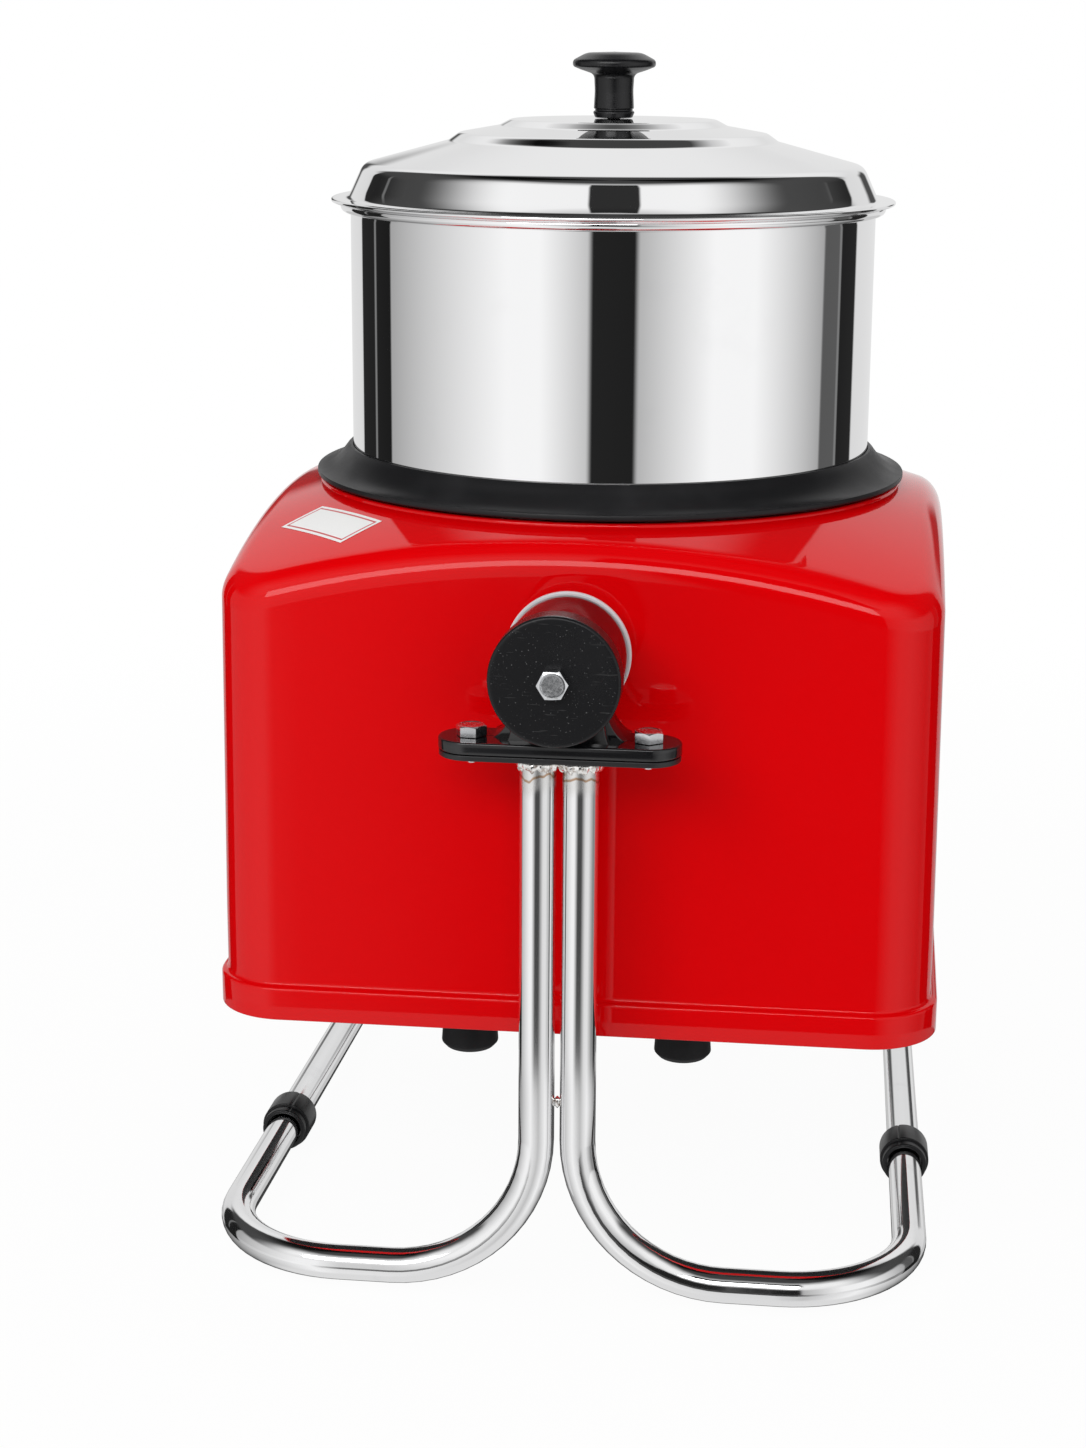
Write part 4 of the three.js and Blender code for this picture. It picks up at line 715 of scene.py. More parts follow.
def add_light():
    """A strip that shows in the gloss of the face, and three soft lamps; places in metres, power in watts."""
    add_world()
    add_lamp("front_strip", (-0.36, -1.85, 1.32), (0, -0.16, 0.33), (2.0, 0.62), 17, True)
    add_lamp("key", (-1.5, -1.6, 2.2), LAMP_TARGET, (1.4, 1.0), 10)
    add_lamp("fill", (1.9, -1.2, 1.5), LAMP_TARGET, (1.2, 1.2), 5)
    add_lamp("top", (0.0, 0.5, 2.4), LAMP_TARGET, (1.6, 1.0), 11)


LAMP_TARGET = (0, 0, 0.3)


# Red body

def square_outline(side_steps, corner_steps):
    """Stations of a rounded square: share of the half side along each axis, and the outward direction.

    Along a side the share runs evenly from -1 to 1; round a corner it stays while the direction turns.
    """
    shares, facings = [], []
    for quarter in range(4):
        turn = quarter * math.pi / 2
        out = np.array([math.cos(turn), math.sin(turn)])
        along = np.array([-math.sin(turn), math.cos(turn)])
        run = 2 * np.arange(side_steps) / side_steps - 1
        angle = turn + np.arange(corner_steps) / corner_steps * math.pi / 2
        shares += [out + run[:, None] * along, np.tile(out + along, (corner_steps, 1))]
        facings += [np.tile(out, (side_steps, 1)), np.stack([np.cos(angle), np.sin(angle)], -1)]
    return np.concatenate(shares), np.concatenate(facings)


def square_point(stations, half, corner):
    return stations[0] * (half - corner) + stations[1] * corner


def dome_height(x, y):
    """Sphere cap: z = TOP_EDGE - sqrt(R2 - h2) + sqrt(R2 - x2 - y2), with h the half width of the body."""
    return TOP_EDGE - math.sqrt(DOME_R ** 2 - BODY_HALF ** 2) + np.sqrt(DOME_R ** 2 - x * x - y * y)


def body_grid():
    """Rows of points at each height: deck, boss with a rolled edge, dome, fillet, wall, skirt and inside.

    About the boss a row is radius * ray. Over the dome it goes evenly from boss to shoulder, round the fillet
    it is the rounded square drawn in by r (1 - sin a) and lowered by r (1 - cos a), and below it steps out.
    """
    stations = square_outline(22, 16)
    ray = square_point(stations, BODY_HALF, BODY_CORNER)
    ray = ray / np.linalg.norm(ray, axis=1)[:, None]
    half = BODY_HALF - BODY_DRAFT
    shoulder = square_point(stations, half - TOP_FILLET, BODY_CORNER - TOP_FILLET)
    rows = []

    def row(plan, height):
        rows.append(np.column_stack([plan, np.broadcast_to(height, len(plan))]))

    boss = rounded([(DECK_HOLE_R, DECK_TOP), (BOSS_R - BOSS_RIM, DECK_TOP, 1.5),
                    (BOSS_R - BOSS_FLAT, BOSS_TOP, 0.8), (BOSS_R, BOSS_TOP, 1.4), (BOSS_R, BOSS_TOP - WALL),
                    (DECK_HOLE_R, DECK_TOP - WALL)], 4)[:-2]
    for radius, height in boss:
        row(ray * radius, height)
    for k in range(DOME_STEPS):
        plan = ray * BOSS_R + (shoulder - ray * BOSS_R) * k / DOME_STEPS
        row(plan, dome_height(*plan.T))
    for k in range(FILLET_STEPS + 1):
        angle = k / FILLET_STEPS * math.pi / 2
        back = TOP_FILLET * (1 - math.sin(angle))
        plan = square_point(stations, half - back, BODY_CORNER - back)
        height = dome_height(*plan.T) - TOP_FILLET * (1 - math.cos(angle))
        row(plan, height)
    row(plan, height - WALL_BRACE)
    top = SKIRT_FOOT + SKIRT_BAND
    inner = SKIRT_STEP - WALL
    skirt = rounded([(0.0, top + 30.0), (0.0, top + 5.0), (0.0, top, 2.2), (SKIRT_STEP, top - 0.6, 1.6),
                     (SKIRT_STEP, SKIRT_FOOT, 0.6), (inner, SKIRT_FOOT, 0.6), (inner, top - WALL),
                     (-WALL, top + 2.0)], 5)
    for step, height in skirt:
        row(square_point(stations, BODY_HALF + step, BODY_CORNER + step), height)
    plan = shoulder * (half - WALL - INNER_BACK) / (half - TOP_FILLET)
    row(plan, dome_height(*plan.T) - INNER_DROP)
    row(ray * (BOSS_R - INNER_BOSS_BACK), DECK_TOP - WALL)
    row(ray * DECK_HOLE_R, DECK_TOP - WALL)
    return np.stack(rows, axis=1)


DOME_STEPS = 12
FILLET_STEPS = 8
DECK_TOP = 334.0
DECK_HOLE_R = 34.0
BOSS_RIM = 7.0
BOSS_FLAT = 4.5
WALL_BRACE = 1.5
INNER_BACK = 4.0
INNER_DROP = 8.0
INNER_BOSS_BACK = 5.0


def add_body():
    Shape().grid(body_grid()).build("body_shell_skin", "body", "red_plastic", ["body_shell"], 40.0)


def add_label():
    """A flat film bent over the dome: centre + u * length + v * depth in plan, LABEL_LIFT above the dome."""
    columns, rows = 17, 11
    turn = math.radians(LABEL_TURN)
    along = np.array([math.cos(turn), math.sin(turn)])
    across = np.array([-math.sin(turn), math.cos(turn)])
    u, v = np.meshgrid(np.arange(columns) / (columns - 1), np.arange(rows) / (rows - 1))
    places = np.stack([u.ravel(), v.ravel()], -1)
    spots = np.array(LABEL_CENTRE) + along * (places[:, :1] - 0.5) * LABEL_LENGTH
    spots = spots + across * (places[:, 1:] - 0.5) * LABEL_DEPTH
    points = np.column_stack([spots, dome_height(*spots.T) + LABEL_LIFT])
    faces = quads(rows, columns, False, False)
    mesh = bpy.data.meshes.new("blank_label")
    mesh.from_pydata((points * MM).tolist(), [], faces.tolist())
    layer = mesh.uv_layers.new(name="label")
    layer.data.foreach_set("uv", places[faces.ravel()].ravel())
    mesh.polygons.foreach_set("use_smooth", np.ones(len(mesh.polygons), dtype=bool))
    label = bpy.data.objects.new("blank_label", mesh)
    bpy.context.scene.collection.objects.link(label)
    mesh.materials.append(finish("label"))
    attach(label, "body")


LABEL_CENTRE = (-115.9, -113.6)
LABEL_TURN = -44.8
LABEL_LIFT = 0.14


def add_feet():
    for end_word, end in (("front", -1), ("rear", 1)):
        for side_word, side in (("left", -1), ("right", 1)):
            name = f"{end_word}_{side_word}_foot"
            foot = Shape().turned(rounded(FOOT_OUTLINE), 40, moved(FOOT_X * side, FOOT_Y * end))
            foot.build(f"{name}_rubber", "body", "foot_rubber", [name])


# An outline of a turned piece holds points of (radius, height) and, where it is rounded, the arc's radius
FOOT_X = 50.0
FOOT_Y = 128.0
FOOT_OUTLINE = [(0.0, 91.0), (10.9, 91.0, 2.0), (13.3, 93.6, 1.5), (12.6, 104.0), (13.3, 112.5, 0.8),
                (13.3, 114.7), (0.0, 114.7)]


# Drum, skirt ring and lid

def bead(radius, centre, start, end, steps=14):
    """Arc about a centre from one angle to another in degrees."""
    angles = np.radians(start + (end - start) * np.arange(steps + 1) / steps)
    return np.array(centre) + radius * np.stack([np.cos(angles), np.sin(angles)], -1)


def add_drum():
    """Drum of one sheet with a curled rim and a centre tube, and the flared skirt ring round its foot.

    The flare's height falls from RING_TOP to FLARE_FOOT by (1 - t) to FLARE_POWER as its radius grows by t.
    """
    bore, floor = CENTRE_R - SHEET, DRUM_FOOT + SHEET
    outer = rounded([(bore, DRUM_FOOT), (DRUM_R, DRUM_FOOT, FLOOR_ROUND), (DRUM_R, CURL_FOOT)], 8)[1:]
    curl = bead(CURL_R, (DRUM_R + CURL_OUT, DRUM_TOP - CURL_R), -140.0, 180.0)
    inner = rounded([(DRUM_R - SHEET, CURL_FOOT), (DRUM_R - SHEET, floor, FLOOR_ROUND),
                     (CENTRE_R, floor, 0.4), (CENTRE_R, CENTRE_TOP, 0.4), (bore, CENTRE_TOP)], 8)
    profile = np.concatenate([[(bore, DRUM_FOOT)], outer[:-1], [(DRUM_R, CURL_FOOT - 0.8)], curl, inner])
    Shape().turned(profile, 192).build("drum_sheet", "drum", "stainless", ["drum"], 50.0)
    share = np.linspace(0.06, 1.0, 14)[:-1]
    flare = np.stack([RING_CUFF + (RING_R - RING_CUFF) * share,
                      FLARE_FOOT + (RING_TOP - FLARE_FOOT) * (1 - share) ** FLARE_POWER], -1)
    cuff = [(RING_BORE, RING_TOP), (RING_CUFF - 0.5, RING_TOP)]
    lip = rounded([(RING_R, FLARE_FOOT - 0.4), (RING_R, RING_FOOT, 0.8), (RING_R - 2.2, RING_FOOT)], 4)[1:-1]
    edge = [(RING_R - 0.2, FLARE_FOOT), (RING_R, FLARE_FOOT - 0.4)]
    profile = np.concatenate([cuff, flare, edge, lip, RING_UNDER])
    Shape().turned(profile, 192).build("skirt_ring_rubber", "drum", "ring_rubber", ["skirt_ring"], 40.0)


SHEET = 0.9
FLOOR_ROUND = 5.0
CURL_FOOT = 469.0
CURL_R = 2.6
CURL_OUT = 2.15
CENTRE_R = 17.5
CENTRE_TOP = 423.0
RING_R = 142.4
RING_BORE = 125.3
RING_CUFF = 127.1
RING_TOP = 358.2
RING_FOOT = 344.4
FLARE_FOOT = 347.0
FLARE_POWER = 2.1
RING_UNDER = [(140.2, 344.4), (132.0, 345.6), (127.1, 347.2), (127.1, 344.7), (125.3, 344.7)]
LID_Z = DRUM_TOP + SEAT_GAP + 0.8


def add_lid():
    """Pressed lid: rolled rim, upright wall with a rolled shoulder, cone and two steps under the knob."""
    profile = rounded(LID_UPPER + LID_UNDER, 6) + np.array([0.0, LID_Z])
    Shape().turned(profile, 192).build("lid_sheet", "lid", "stainless", ["lid"], 60.0)
    knob = rounded(LID_KNOB, 8) + np.array([0.0, LID_Z + KNOB_SEAT])
    Shape().turned(knob, 96).build("lid_knob_moulding", "lid", "black_plastic", ["lid_knob"], 50.0)


KNOB_SEAT = 37.3
LID_UPPER = [(3.2, 37.0), (48.6, 36.6, 5.0), (54.4, 33.6, 5.0), (73.2, 30.3, 5.0), (78.4, 26.6, 5.0),
             (118.8, 15.7, 7.0), (124.4, 3.7, 3.0), (126.2, 0.1, 2.0), (134.2, 0.0, 0.8),
             (134.2, -1.6, 0.7), (132.4, -1.6, 0.5), (131.6, -0.8, 0.5)]
LID_UNDER = [(124.6, -0.75, 0.5), (123.6, 2.9, 1.5), (118.0, 15.0, 6.4), (77.9, 25.8, 4.6), (72.7, 29.5, 4.6),
             (53.9, 32.8, 4.6), (48.1, 35.8, 4.6), (3.2, 36.2)]
LID_KNOB = [(0.0, -8.0), (2.9, -8.0), (2.9, 0.0), (8.8, 0.0, 0.6), (9.9, 2.7, 0.7), (8.9, 3.3, 0.3),
            (8.9, 3.9, 0.3), (9.5, 4.4, 0.4), (9.1, 12.3, 30.0), (9.5, 20.0, 3.0), (15.6, 22.0, 6.0),
            (19.6, 23.6, 1.6), (19.6, 26.4, 2.2), (13.0, 29.9, 10.0), (0.0, 30.3)]


# Stones and roller holder

def add_stones():
    """Base stone, roller cones of radius distance * tan a, and the holder with its axles and lock knob."""
    bed = rounded([(BED_HOLE_R, BED_FOOT), (BED_R - BED_BEVEL, BED_FOOT), (BED_R, BED_FOOT + BED_BEVEL),
                   (BED_R, BED_TOP, 2.2), (BED_HOLE_R, BED_TOP, 1.0)])
    Shape().turned(bed, 128).build("base_stone_bed", "drum", "granite", ["base_stone"])
    angle = math.asin(ROLLER_SINE)
    near, far = ROLLER_NEAR * math.cos(angle), ROLLER_FAR * math.cos(angle)
    slope = math.tan(angle)
    cone = rounded([(ROLLER_BORE, near, 0.4), (near * slope, near, 1.8), (far * slope, far, 2.4),
                    (ROLLER_BORE, far, 0.4)])
    for name, side in (("left", -1), ("right", 1)):
        Shape().turned(cone, 96, axle_place(side)).build(f"{name}_roller_cone", f"{name}_roller", "granite",
                                                          [f"{name}_roller_stone"])
    collar = far + 0.3
    axle = rounded([(0.0, AXLE_ROOT), (AXLE_R, AXLE_ROOT), (AXLE_R, collar), (COLLAR_R, collar, 0.4),
                    (COLLAR_R, collar + COLLAR_DEPTH, 1.0), (0.0, collar + COLLAR_DEPTH)])
    holder = Shape().turned(rounded(HUB_OUTLINE), 72)
    for side in (-1, 1):
        holder.turned(axle, 36, axle_place(side))
    holder.build("roller_holder_metal", "body", "stainless", ["roller_holder"])
    knob = rounded(LOCK_KNOB)
    angles = np.arange(96) * TAU / 96
    grid = spun(knob, 96)
    lobes = 1 + LOBE_DEPTH * np.cos(LOBES * angles)[:, None] * (knob[:, 0] > LOBE_START)[None, :]
    grid[:, :, :2] *= np.minimum(lobes, 1.0)[:, :, None]
    Shape().grid(grid).build("lock_knob_moulding", "body", "black_plastic", ["lock_knob"])


BED_HOLE_R = 20.5
BED_R = 119.0
BED_FOOT = 346.2
BED_BEVEL = 5.0
ROLLER_NEAR = 40.0
ROLLER_FAR = 112.0
ROLLER_BORE = 6.8
AXLE_ROOT = 22.0
AXLE_R = 6.0
COLLAR_R = 10.0
COLLAR_DEPTH = 4.0
HUB_OUTLINE = [(8.6, 427.0), (19.9, 427.0), (19.9, 370.2), (24.4, 370.2, 0.6), (24.4, 433.0, 1.6),
               (8.6, 433.0, 0.4)]
LOCK_KNOB = [(8.4, 437.6), (14.0, 437.6, 0.6), (17.0, 440.6, 1.2), (17.0, 450.6, 2.5), (13.5, 453.6, 1.5),
             (0.0, 453.6), (0.0, 452.3), (8.4, 452.3)]
LOBES = 8
LOBE_DEPTH = 0.06
LOBE_START = 12


def axle_place(side):
    """Turns a shape about Z onto a roller's axle: up and out to one side from the bed's middle."""
    angle = math.asin(ROLLER_SINE)
    cos, sin = math.cos(angle), math.sin(angle)

    def place(grid):
        out = np.empty_like(grid)
        out[..., 0] = side * (grid[..., 2] * cos + grid[..., 0] * sin)
        out[..., 1] = grid[..., 1] * side
        out[..., 2] = BED_TOP + SEAT_GAP + grid[..., 2] * sin - grid[..., 0] * cos
        return out
    return place


# Stand

def bent_line(corners, radii, steps=16, straight=10):
    """Points and directions of straight runs joined by arcs, each tangent to the runs on both sides."""
    corners = [np.array(c, float) for c in corners]
    points, ahead = [corners[0]], [corners[1] - corners[0]]
    for k in range(1, len(corners) - 1):
        first = corners[k] - corners[k - 1]
        second = corners[k + 1] - corners[k]
        first, second = first / np.linalg.norm(first), second / np.linalg.norm(second)
        turn = math.acos(float(first @ second))
        inward = second - first * float(first @ second)
        inward = inward / np.linalg.norm(inward)
        start = corners[k] - first * radii[k - 1] * math.tan(turn / 2)
        last = points[-1]
        for i in range(1, straight):
            points.append(last + (start - last) * i / straight)
            ahead.append(first)
        for i in range(steps + 1):
            angle = turn * i / steps
            points.append(start + first * radii[k - 1] * math.sin(angle)
                          + inward * radii[k - 1] * (1 - math.cos(angle)))
            ahead.append(first * math.cos(angle) + inward * math.sin(angle))
    points.append(corners[-1])
    ahead.append(corners[-1] - corners[-2])
    return np.array(points), np.array([a / np.linalg.norm(a) for a in ahead])


def swept(points, ahead, radius, sides):
    """Grid of a circle carried along a line, its frame turned no more than the line itself."""
    across = np.array([0.0, 1.0, 0.0])
    rows = []
    angles = np.arange(sides) * TAU / sides
    for point, tangent in zip(points, ahead):
        across = across - tangent * float(across @ tangent)
        across = across / np.linalg.norm(across)
        other = np.cross(tangent, across)
        rows.append(point + radius * (np.cos(angles)[:, None] * across + np.sin(angles)[:, None] * other))
    return np.array(rows)


def add_tubes():
    top = PLATE_FOOT - SEAT_GAP
    for name, side in (("left", -1), ("right", 1)):
        x = side * LEG_X
        corners = [(x, -LEG_Y, top), (x, -LEG_Y, TUBE_Z), (side * FLOOR_HALF, -LEG_Y, TUBE_Z),
                   (side * REAR_HALF, LEG_Y, TUBE_Z), (x, LEG_Y, TUBE_Z), (x, LEG_Y, top)]
        points, ahead = bent_line(corners, [FOOT_BEND, CORNER_BEND, CORNER_BEND, FOOT_BEND])
        outer = swept(points, ahead, TUBE_R, TUBE_SIDES)
        inner = swept(points, ahead, TUBE_R - TUBE_WALL, TUBE_SIDES)
        grid = np.concatenate([outer, inner[::-1]])
        Shape().grid(grid).build(f"{name}_tube", "stand", "stainless_tube", [f"{name}_stand_tube"])


TUBE_SIDES = 48


def add_sleeves():
    """Sleeves about the side runs: a turned outline with a seam along its top, cut flat where it stands.

    The seam is a groove SEAM_DEPTH exp(-((a - SEAM_ANGLE) / SEAM_WIDTH)2) deep in the outer surface.
    """
    slope = (FLOOR_HALF - REAR_HALF) / (2 * LEG_Y)
    outline = rounded(SLEEVE_OUTLINE)
    angles = np.arange(120) * TAU / 120
    seam = SEAM_DEPTH * np.exp(-((angles - SEAM_ANGLE) / SEAM_WIDTH) ** 2)
    for end, y in (("front", FRONT_SLEEVE_Y), ("rear", REAR_SLEEVE_Y)):
        for name, side in (("left", -1), ("right", 1)):
            grid = spun(outline, 120)
            outside = outline[None, :, 0] > SEAM_FROM
            grid[:, :, :2] *= (1 - seam[:, None] * outside / SLEEVE_R)[:, :, None]
            reach = side * (FLOOR_HALF - (y + LEG_Y) * slope)
            place = np.empty_like(grid)
            place[..., 0] = reach - side * slope * grid[..., 2] - side * grid[..., 0]
            place[..., 1] = y + grid[..., 2]
            place[..., 2] = np.maximum(TUBE_Z + grid[..., 1], 0.0)
            Shape().grid(place).build(f"{end}_{name}_sleeve_moulding", "stand", "black_sleeve",
                                      [f"{end}_{name}_sleeve"])


FRONT_SLEEVE_Y = -48.0
REAR_SLEEVE_Y = 131.5
SLEEVE_R = 11.95
SLEEVE_OUTLINE = [(8.7, -11.5, 0.5), (10.8, -11.5, 0.9), (10.8, -6.0, 0.3), (SLEEVE_R, -6.0, 1.1),
                  (SLEEVE_R, 11.5, 1.2), (8.7, 11.5, 0.5)]
SEAM_ANGLE = math.radians(75.0)
SEAM_WIDTH = 0.035
SEAM_DEPTH = 0.45
SEAM_FROM = 10.0


def rounded_plate(half_x, half_y, corner, low, high, edge, sides=16):
    """Plate with round corners and rolled edges: an outline drawn in by the edge profile at each height.

    A point is the corner's centre + direction * (corner - inset). Past the corner's radius the centre moves.
    """
    middle = -min(half_x, half_y) * 0.98
    inset, height = rounded([(middle, low), (-2.0 * edge, low), (0.0, low, edge), (0.0, high, edge),
                             (-2.0 * edge, high), (middle, high)], 5).T
    quarter = np.repeat(np.arange(4), sides + 1)
    angle = (quarter + np.tile(np.arange(sides + 1), 4) / sides) * math.pi / 2
    signs = np.array([(1, 1), (-1, 1), (-1, -1), (1, -1)])[quarter]
    facing = np.stack([np.cos(angle), np.sin(angle)], -1)
    radius, extra = np.maximum(corner + inset, 0.0), np.minimum(corner + inset, 0.0)
    centre = np.maximum(np.array([half_x, half_y]) - corner + extra[:, None], 0.0)
    plan = signs[:, None] * centre + facing[:, None] * radius[:, None]
    return np.concatenate([plan, np.broadcast_to(height[:, None], (*plan.shape[:2], 1))], -1)


def hex_head(flats, height, chamfer_from, bore=0.0, both=False, turn=0.0, dish=0.0, sides=96):
    """Hexagon cut by a cone: radius (f/2)/cos(a) about each face, top z = h - CONE_SLOPE (r - r0) beyond r0.

    A dish lowers the top's middle by its depth, inside 0.84 of r0. With both, the cone cuts the foot too.
    """
    angle = np.arange(sides) * TAU / sides
    off = (angle + math.pi / 6) % (math.pi / 3) - math.pi / 6
    reach = flats / 2 / np.cos(off)
    beyond = reach - chamfer_from
    low = CONE_SLOPE * np.maximum(beyond, 0.0) if both else 0.0
    rim = height - CONE_START
    row = [(bore, height - dish), (chamfer_from * 0.8, height - dish), (chamfer_from * 0.84, height),
           (chamfer_from * 0.97, height), (chamfer_from, rim)]
    row += [(chamfer_from + beyond * t, rim - CONE_SLOPE * beyond * t) for t in (0.5, 1.0)]
    row += [(reach, low), (np.minimum(chamfer_from, reach), 0.0), (bore, 0.0)]
    radius, level = (np.stack([np.broadcast_to(part, sides) for part in parts], -1) for parts in zip(*row))
    facing = (angle + turn)[:, None]
    return np.stack([radius * np.cos(facing), radius * np.sin(facing), level], -1)


CONE_SLOPE = 0.577
CONE_START = 0.05


def threaded(radius, low, high, pitch=1.25, depth=0.55):
    """Saw profile of a thread's crests and roots from a low to a high level, closed on the axis."""
    profile = [(0.0, low), (radius - depth, low)]
    level = low + THREAD_LEAD
    while level + pitch < high:
        profile += [(radius, level + pitch * 0.4), (radius - depth, level + pitch)]
        level += pitch
    profile += [(radius, high), (0.0, high)]
    return profile


THREAD_LEAD = 0.3


def gusset(half_depth, half_length):
    """A web under the barrel: its half length falls to WEB_NECK as it rises WEB_RISE times t to WEB_POWER."""
    share = np.linspace(0, 1, 12)
    reach = half_length - (half_length - WEB_NECK) * share * (1 + (1 - share) * WEB_BOW)
    level = FLANGE_TOP - WEB_SINK + WEB_RISE * share ** WEB_POWER
    outline = np.concatenate([np.stack([reach, level], -1), np.stack([-reach[::-1], level[::-1]], -1)])
    rows = []
    for y, inset in ((-half_depth, 0.9), (-half_depth + 0.3, 0.3), (-half_depth + 0.9, 0.0),
                     (half_depth - 0.9, 0.0), (half_depth - 0.3, 0.3), (half_depth, 0.9)):
        x = outline[:, 0] - np.sign(outline[:, 0]) * inset
        rows.append(np.stack([x, np.full(len(x), y - LEG_Y + WEB_BACK), outline[:, 1]], -1))
    width = len(outline)
    faces = quads(len(rows), width, False, True).tolist()
    faces += [list(range(width)), list(range((len(rows) - 1) * width, len(rows) * width))[::-1]]
    return np.array(rows), faces


WEB_NECK = 19.0
WEB_BOW = 0.9
WEB_SINK = 0.4
WEB_RISE = 21.0
WEB_POWER = 1.4
WEB_BACK = 8.0


def add_block(end, side):
    """Steel plate and the moulded bearing block on it: flange, barrel and two gusset webs."""
    here = mirrored_end(side)
    leg = np.array([0.0, -LEG_Y, 0.0])
    plate = rounded_plate(*PLATE_HALF, PLATE_HALF[1], PLATE_FOOT, PLATE_TOP, 0.4)
    Shape().grid(here(plate + leg)).build(f"{end}_plate", "stand", "black_steel", [f"{end}_top_plate"])
    flange = rounded_plate(*FLANGE_HALF, FLANGE_HALF[1], FLANGE_FOOT, FLANGE_TOP, 0.9)
    block = Shape().grid(here(flange + leg))
    barrel = rounded([(BLOCK_BORE, HOUSING_IN, 0.8), (HOUSING_R, HOUSING_IN, 1.4),
                      (HOUSING_R, HOUSING_OUT, 1.2), (BLOCK_BORE, HOUSING_OUT, 0.8)])
    block.turned(barrel, 96, trunnion(side))
    for half_depth, half_length in WEBS:
        web, faces = gusset(half_depth, half_length)
        block.add(here(web), faces)
    block.build(f"{end}_block_moulding", "stand", "black_moulding", [f"{end}_bearing_block"])


PLATE_HALF = (52.0, 13.7)
FLANGE_HALF = (52.3, 14.0)
BLOCK_BORE = 14.3
WEBS = ((10.5, 29.4), (15.5, 22.0))


def add_block_bolts(end, side):
    """Zinc bolts through the ears, each with its thin nut under the plate."""
    here = mirrored_end(side)
    for name, sx, turn in (("left", -1, 0.42), ("right", 1, 0.12)):
        spot = here(np.array([sx * BOLT_X, -LEG_Y, 0.0]))
        head = hex_head(BOLT_FLATS, EAR_HEAD_HEIGHT, 5.7, turn=turn, dish=0.2)
        bolt = Shape().grid(head + spot + np.array([0, 0, FLANGE_TOP + SEAT_GAP]))
        shank = threaded(EAR_BOLT_R, PLATE_FOOT - NUT_DEPTH - BOLT_END, FLANGE_TOP + 0.8, 1.0)
        bolt.turned(shank, 36, moved(*spot))
        bolt.build(f"{end}_{name}_block_bolt_zinc", "stand", "zinc", [f"{end}_{name}_block_bolt"])
        nut = hex_head(BOLT_FLATS * NUT_SHARE, NUT_DEPTH, 4.8, EAR_BOLT_R + 0.2, True, turn=turn + 0.3)
        nut = Shape().grid(nut + spot + np.array([0, 0, PLATE_FOOT - SEAT_GAP - NUT_DEPTH]))
        nut.build(f"{end}_{name}_block_nut_zinc", "stand", "zinc", [f"{end}_{name}_block_nut"])


BOLT_FLATS = 11.8
EAR_HEAD_HEIGHT = 4.6
EAR_BOLT_R = 2.9
BOLT_END = 1.6
NUT_DEPTH = 2.0
NUT_SHARE = 0.85


def add_welds(end, side):
    """Weld collars under the plate, half round beads whose radius and foot wave round the tube, and a tack.

    The wave is 0.5 sin(9 a + s) + 0.35 sin(16 a + 2 s) + 0.2 sin(31 a), with s -1 on the left and 1 right.
    """
    angles = np.arange(96) * TAU / 96
    bow = np.linspace(0, math.pi, 9)
    rim = np.stack([TUBE_R - 0.4 + WELD_OUT * np.sin(bow), -WELD_HALF * (1 - np.cos(bow))], -1)
    profile = np.concatenate([rim, [(TUBE_R - 2.0, -3.2), (TUBE_R - 2.0, -0.4)]])
    for name, sx in (("left", -1), ("right", 1)):
        collar = spun(profile, 96)
        swell = 0.5 * np.sin(9 * angles + sx) + 0.35 * np.sin(16 * angles + 2.0 * sx)
        swell = swell + 0.2 * np.sin(31 * angles)
        collar[:, :, :2] *= (1 + WELD_WAVE_OUT * swell)[:, None, None]
        collar[:, :, 2] *= (1 + WELD_WAVE_DOWN * swell)[:, None]
        spot = mirrored_end(side)(np.array([sx * LEG_X, -LEG_Y, PLATE_FOOT - 0.2]))
        Shape().grid(collar + spot).build(f"{end}_{name}_weld", "stand", "weld")
    if side < 0:
        spot = moved(0.0, TACK_Y, TACK_Z)
        Shape().turned(rounded(TACK_OUTLINE, 4), 24, spot).build("leg_tack_weld", "stand", "weld")


WELD_OUT = 2.1
WELD_HALF = 2.5
WELD_WAVE_OUT = 0.045
WELD_WAVE_DOWN = 0.22
TACK_Y = -LEG_Y + 1.0
TACK_Z = 92.0
TACK_OUTLINE = [(0.0, 0.0), (1.5, 1.6, 1.0), (1.5, 4.4, 1.0), (0.0, 6.0)]


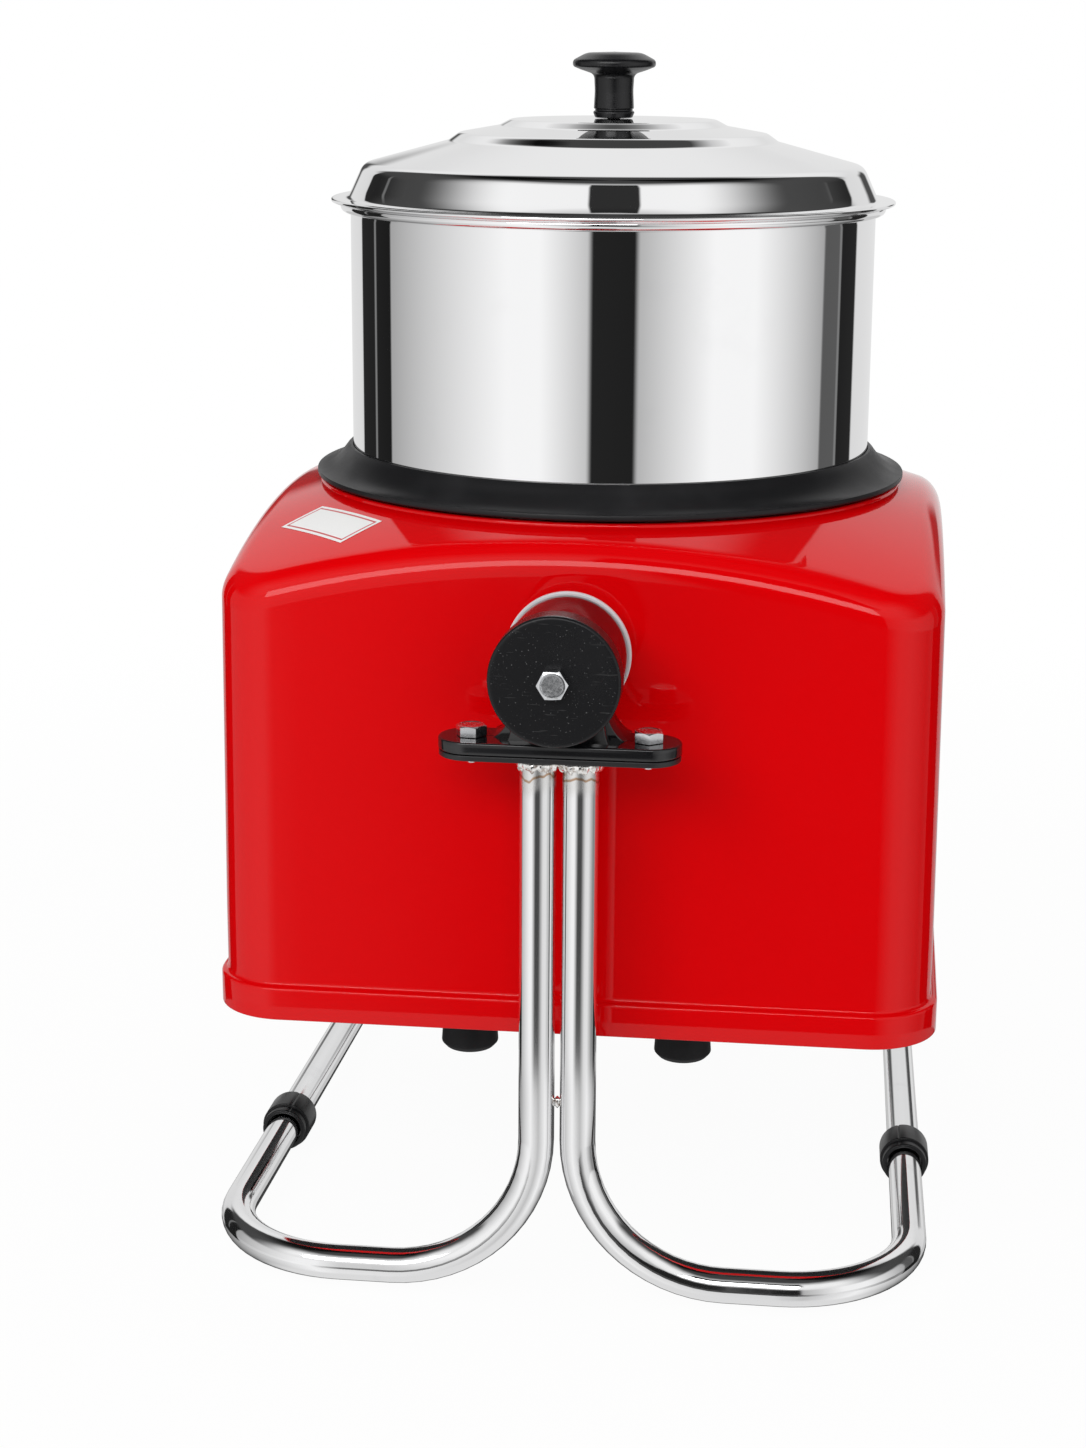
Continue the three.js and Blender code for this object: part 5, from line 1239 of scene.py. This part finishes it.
def add_trunnion_end(end, side):
    """Block, plate and welds of one end, and shaft, washer, cap and bolt turned about the trunnion axis."""
    out = trunnion(side)
    add_block(end, side)
    add_block_bolts(end, side)
    add_welds(end, side)
    Shape().turned(rounded(SHAFT_OUTLINE), 72, out).build(f"{end}_shaft", "body", "steel",
                                                         [f"{end}_trunnion_shaft"])
    Shape().turned(rounded(WASHER_OUTLINE), 96, out).build(f"{end}_washer_nylon", "body", "pale_nylon",
                                                          [f"{end}_thrust_washer"])
    Shape().turned(rounded(CAP_OUTLINE, 9), 160, out).build(f"{end}_cap_moulding", "body", "cap_plastic",
                                                           [f"{end}_end_cap"])
    head = hex_head(BOLT_FLATS, CAP_HEAD_HEIGHT, 5.6, turn=math.radians(33.0), dish=0.25)
    bolt = Shape().grid(out(head + np.array([0, 0, CAP_OUT + SEAT_GAP])))
    bolt.turned(CAP_SHANK, 36, out)
    bolt.build(f"{end}_cap_bolt_zinc", "body", "zinc", [f"{end}_cap_bolt"])


CAP_HEAD_HEIGHT = 5.3
SHAFT_OUTLINE = [(0.0, 150.3), (24.0, 150.3, 0.6), (24.0, 154.3, 0.8), (14.0, 154.3, 1.5), (14.0, 170.6, 0.5),
                 (10.0, 170.6), (10.0, 216.3, 0.8), (0.0, 216.3)]
WASHER_OUTLINE = [(10.4, 171.0, 0.4), (27.6, 171.0, 0.7), (27.6, 174.0, 0.7), (10.4, 174.0, 0.4)]
CAP_OUTLINE = [(10.5, CAP_IN, 0.4), (CAP_R, CAP_IN, 0.6), (CAP_R, CAP_OUT, 1.5), (5.4, CAP_OUT, 0.5),
               (5.4, CAP_IN + 4.0), (10.5, CAP_IN + 4.0)]
CAP_SHANK = [(0.0, 200.7), (4.0, 200.7), (4.0, CAP_OUT + 0.8), (0.0, CAP_OUT + 0.8)]


# What stays as the CAD model has it, dressed in its finish

def dress_frame():
    slots = {part["node"]: part["material_slot"] for part in frame["record"]["subparts"]}
    for name, node in frame["nodes"].items():
        node.data.materials.clear()
        node.data.materials.append(finish(slots[name]))


view = bpy.context.scene.view_settings
view.view_transform = "Standard"
add_camera()
add_floor()
add_light()
dress_frame()
add_body()
add_label()
add_feet()
add_drum()
add_lid()
add_stones()
add_tubes()
add_sleeves()
for end_name, end_side in (("front", -1), ("rear", 1)):
    add_trunnion_end(end_name, end_side)
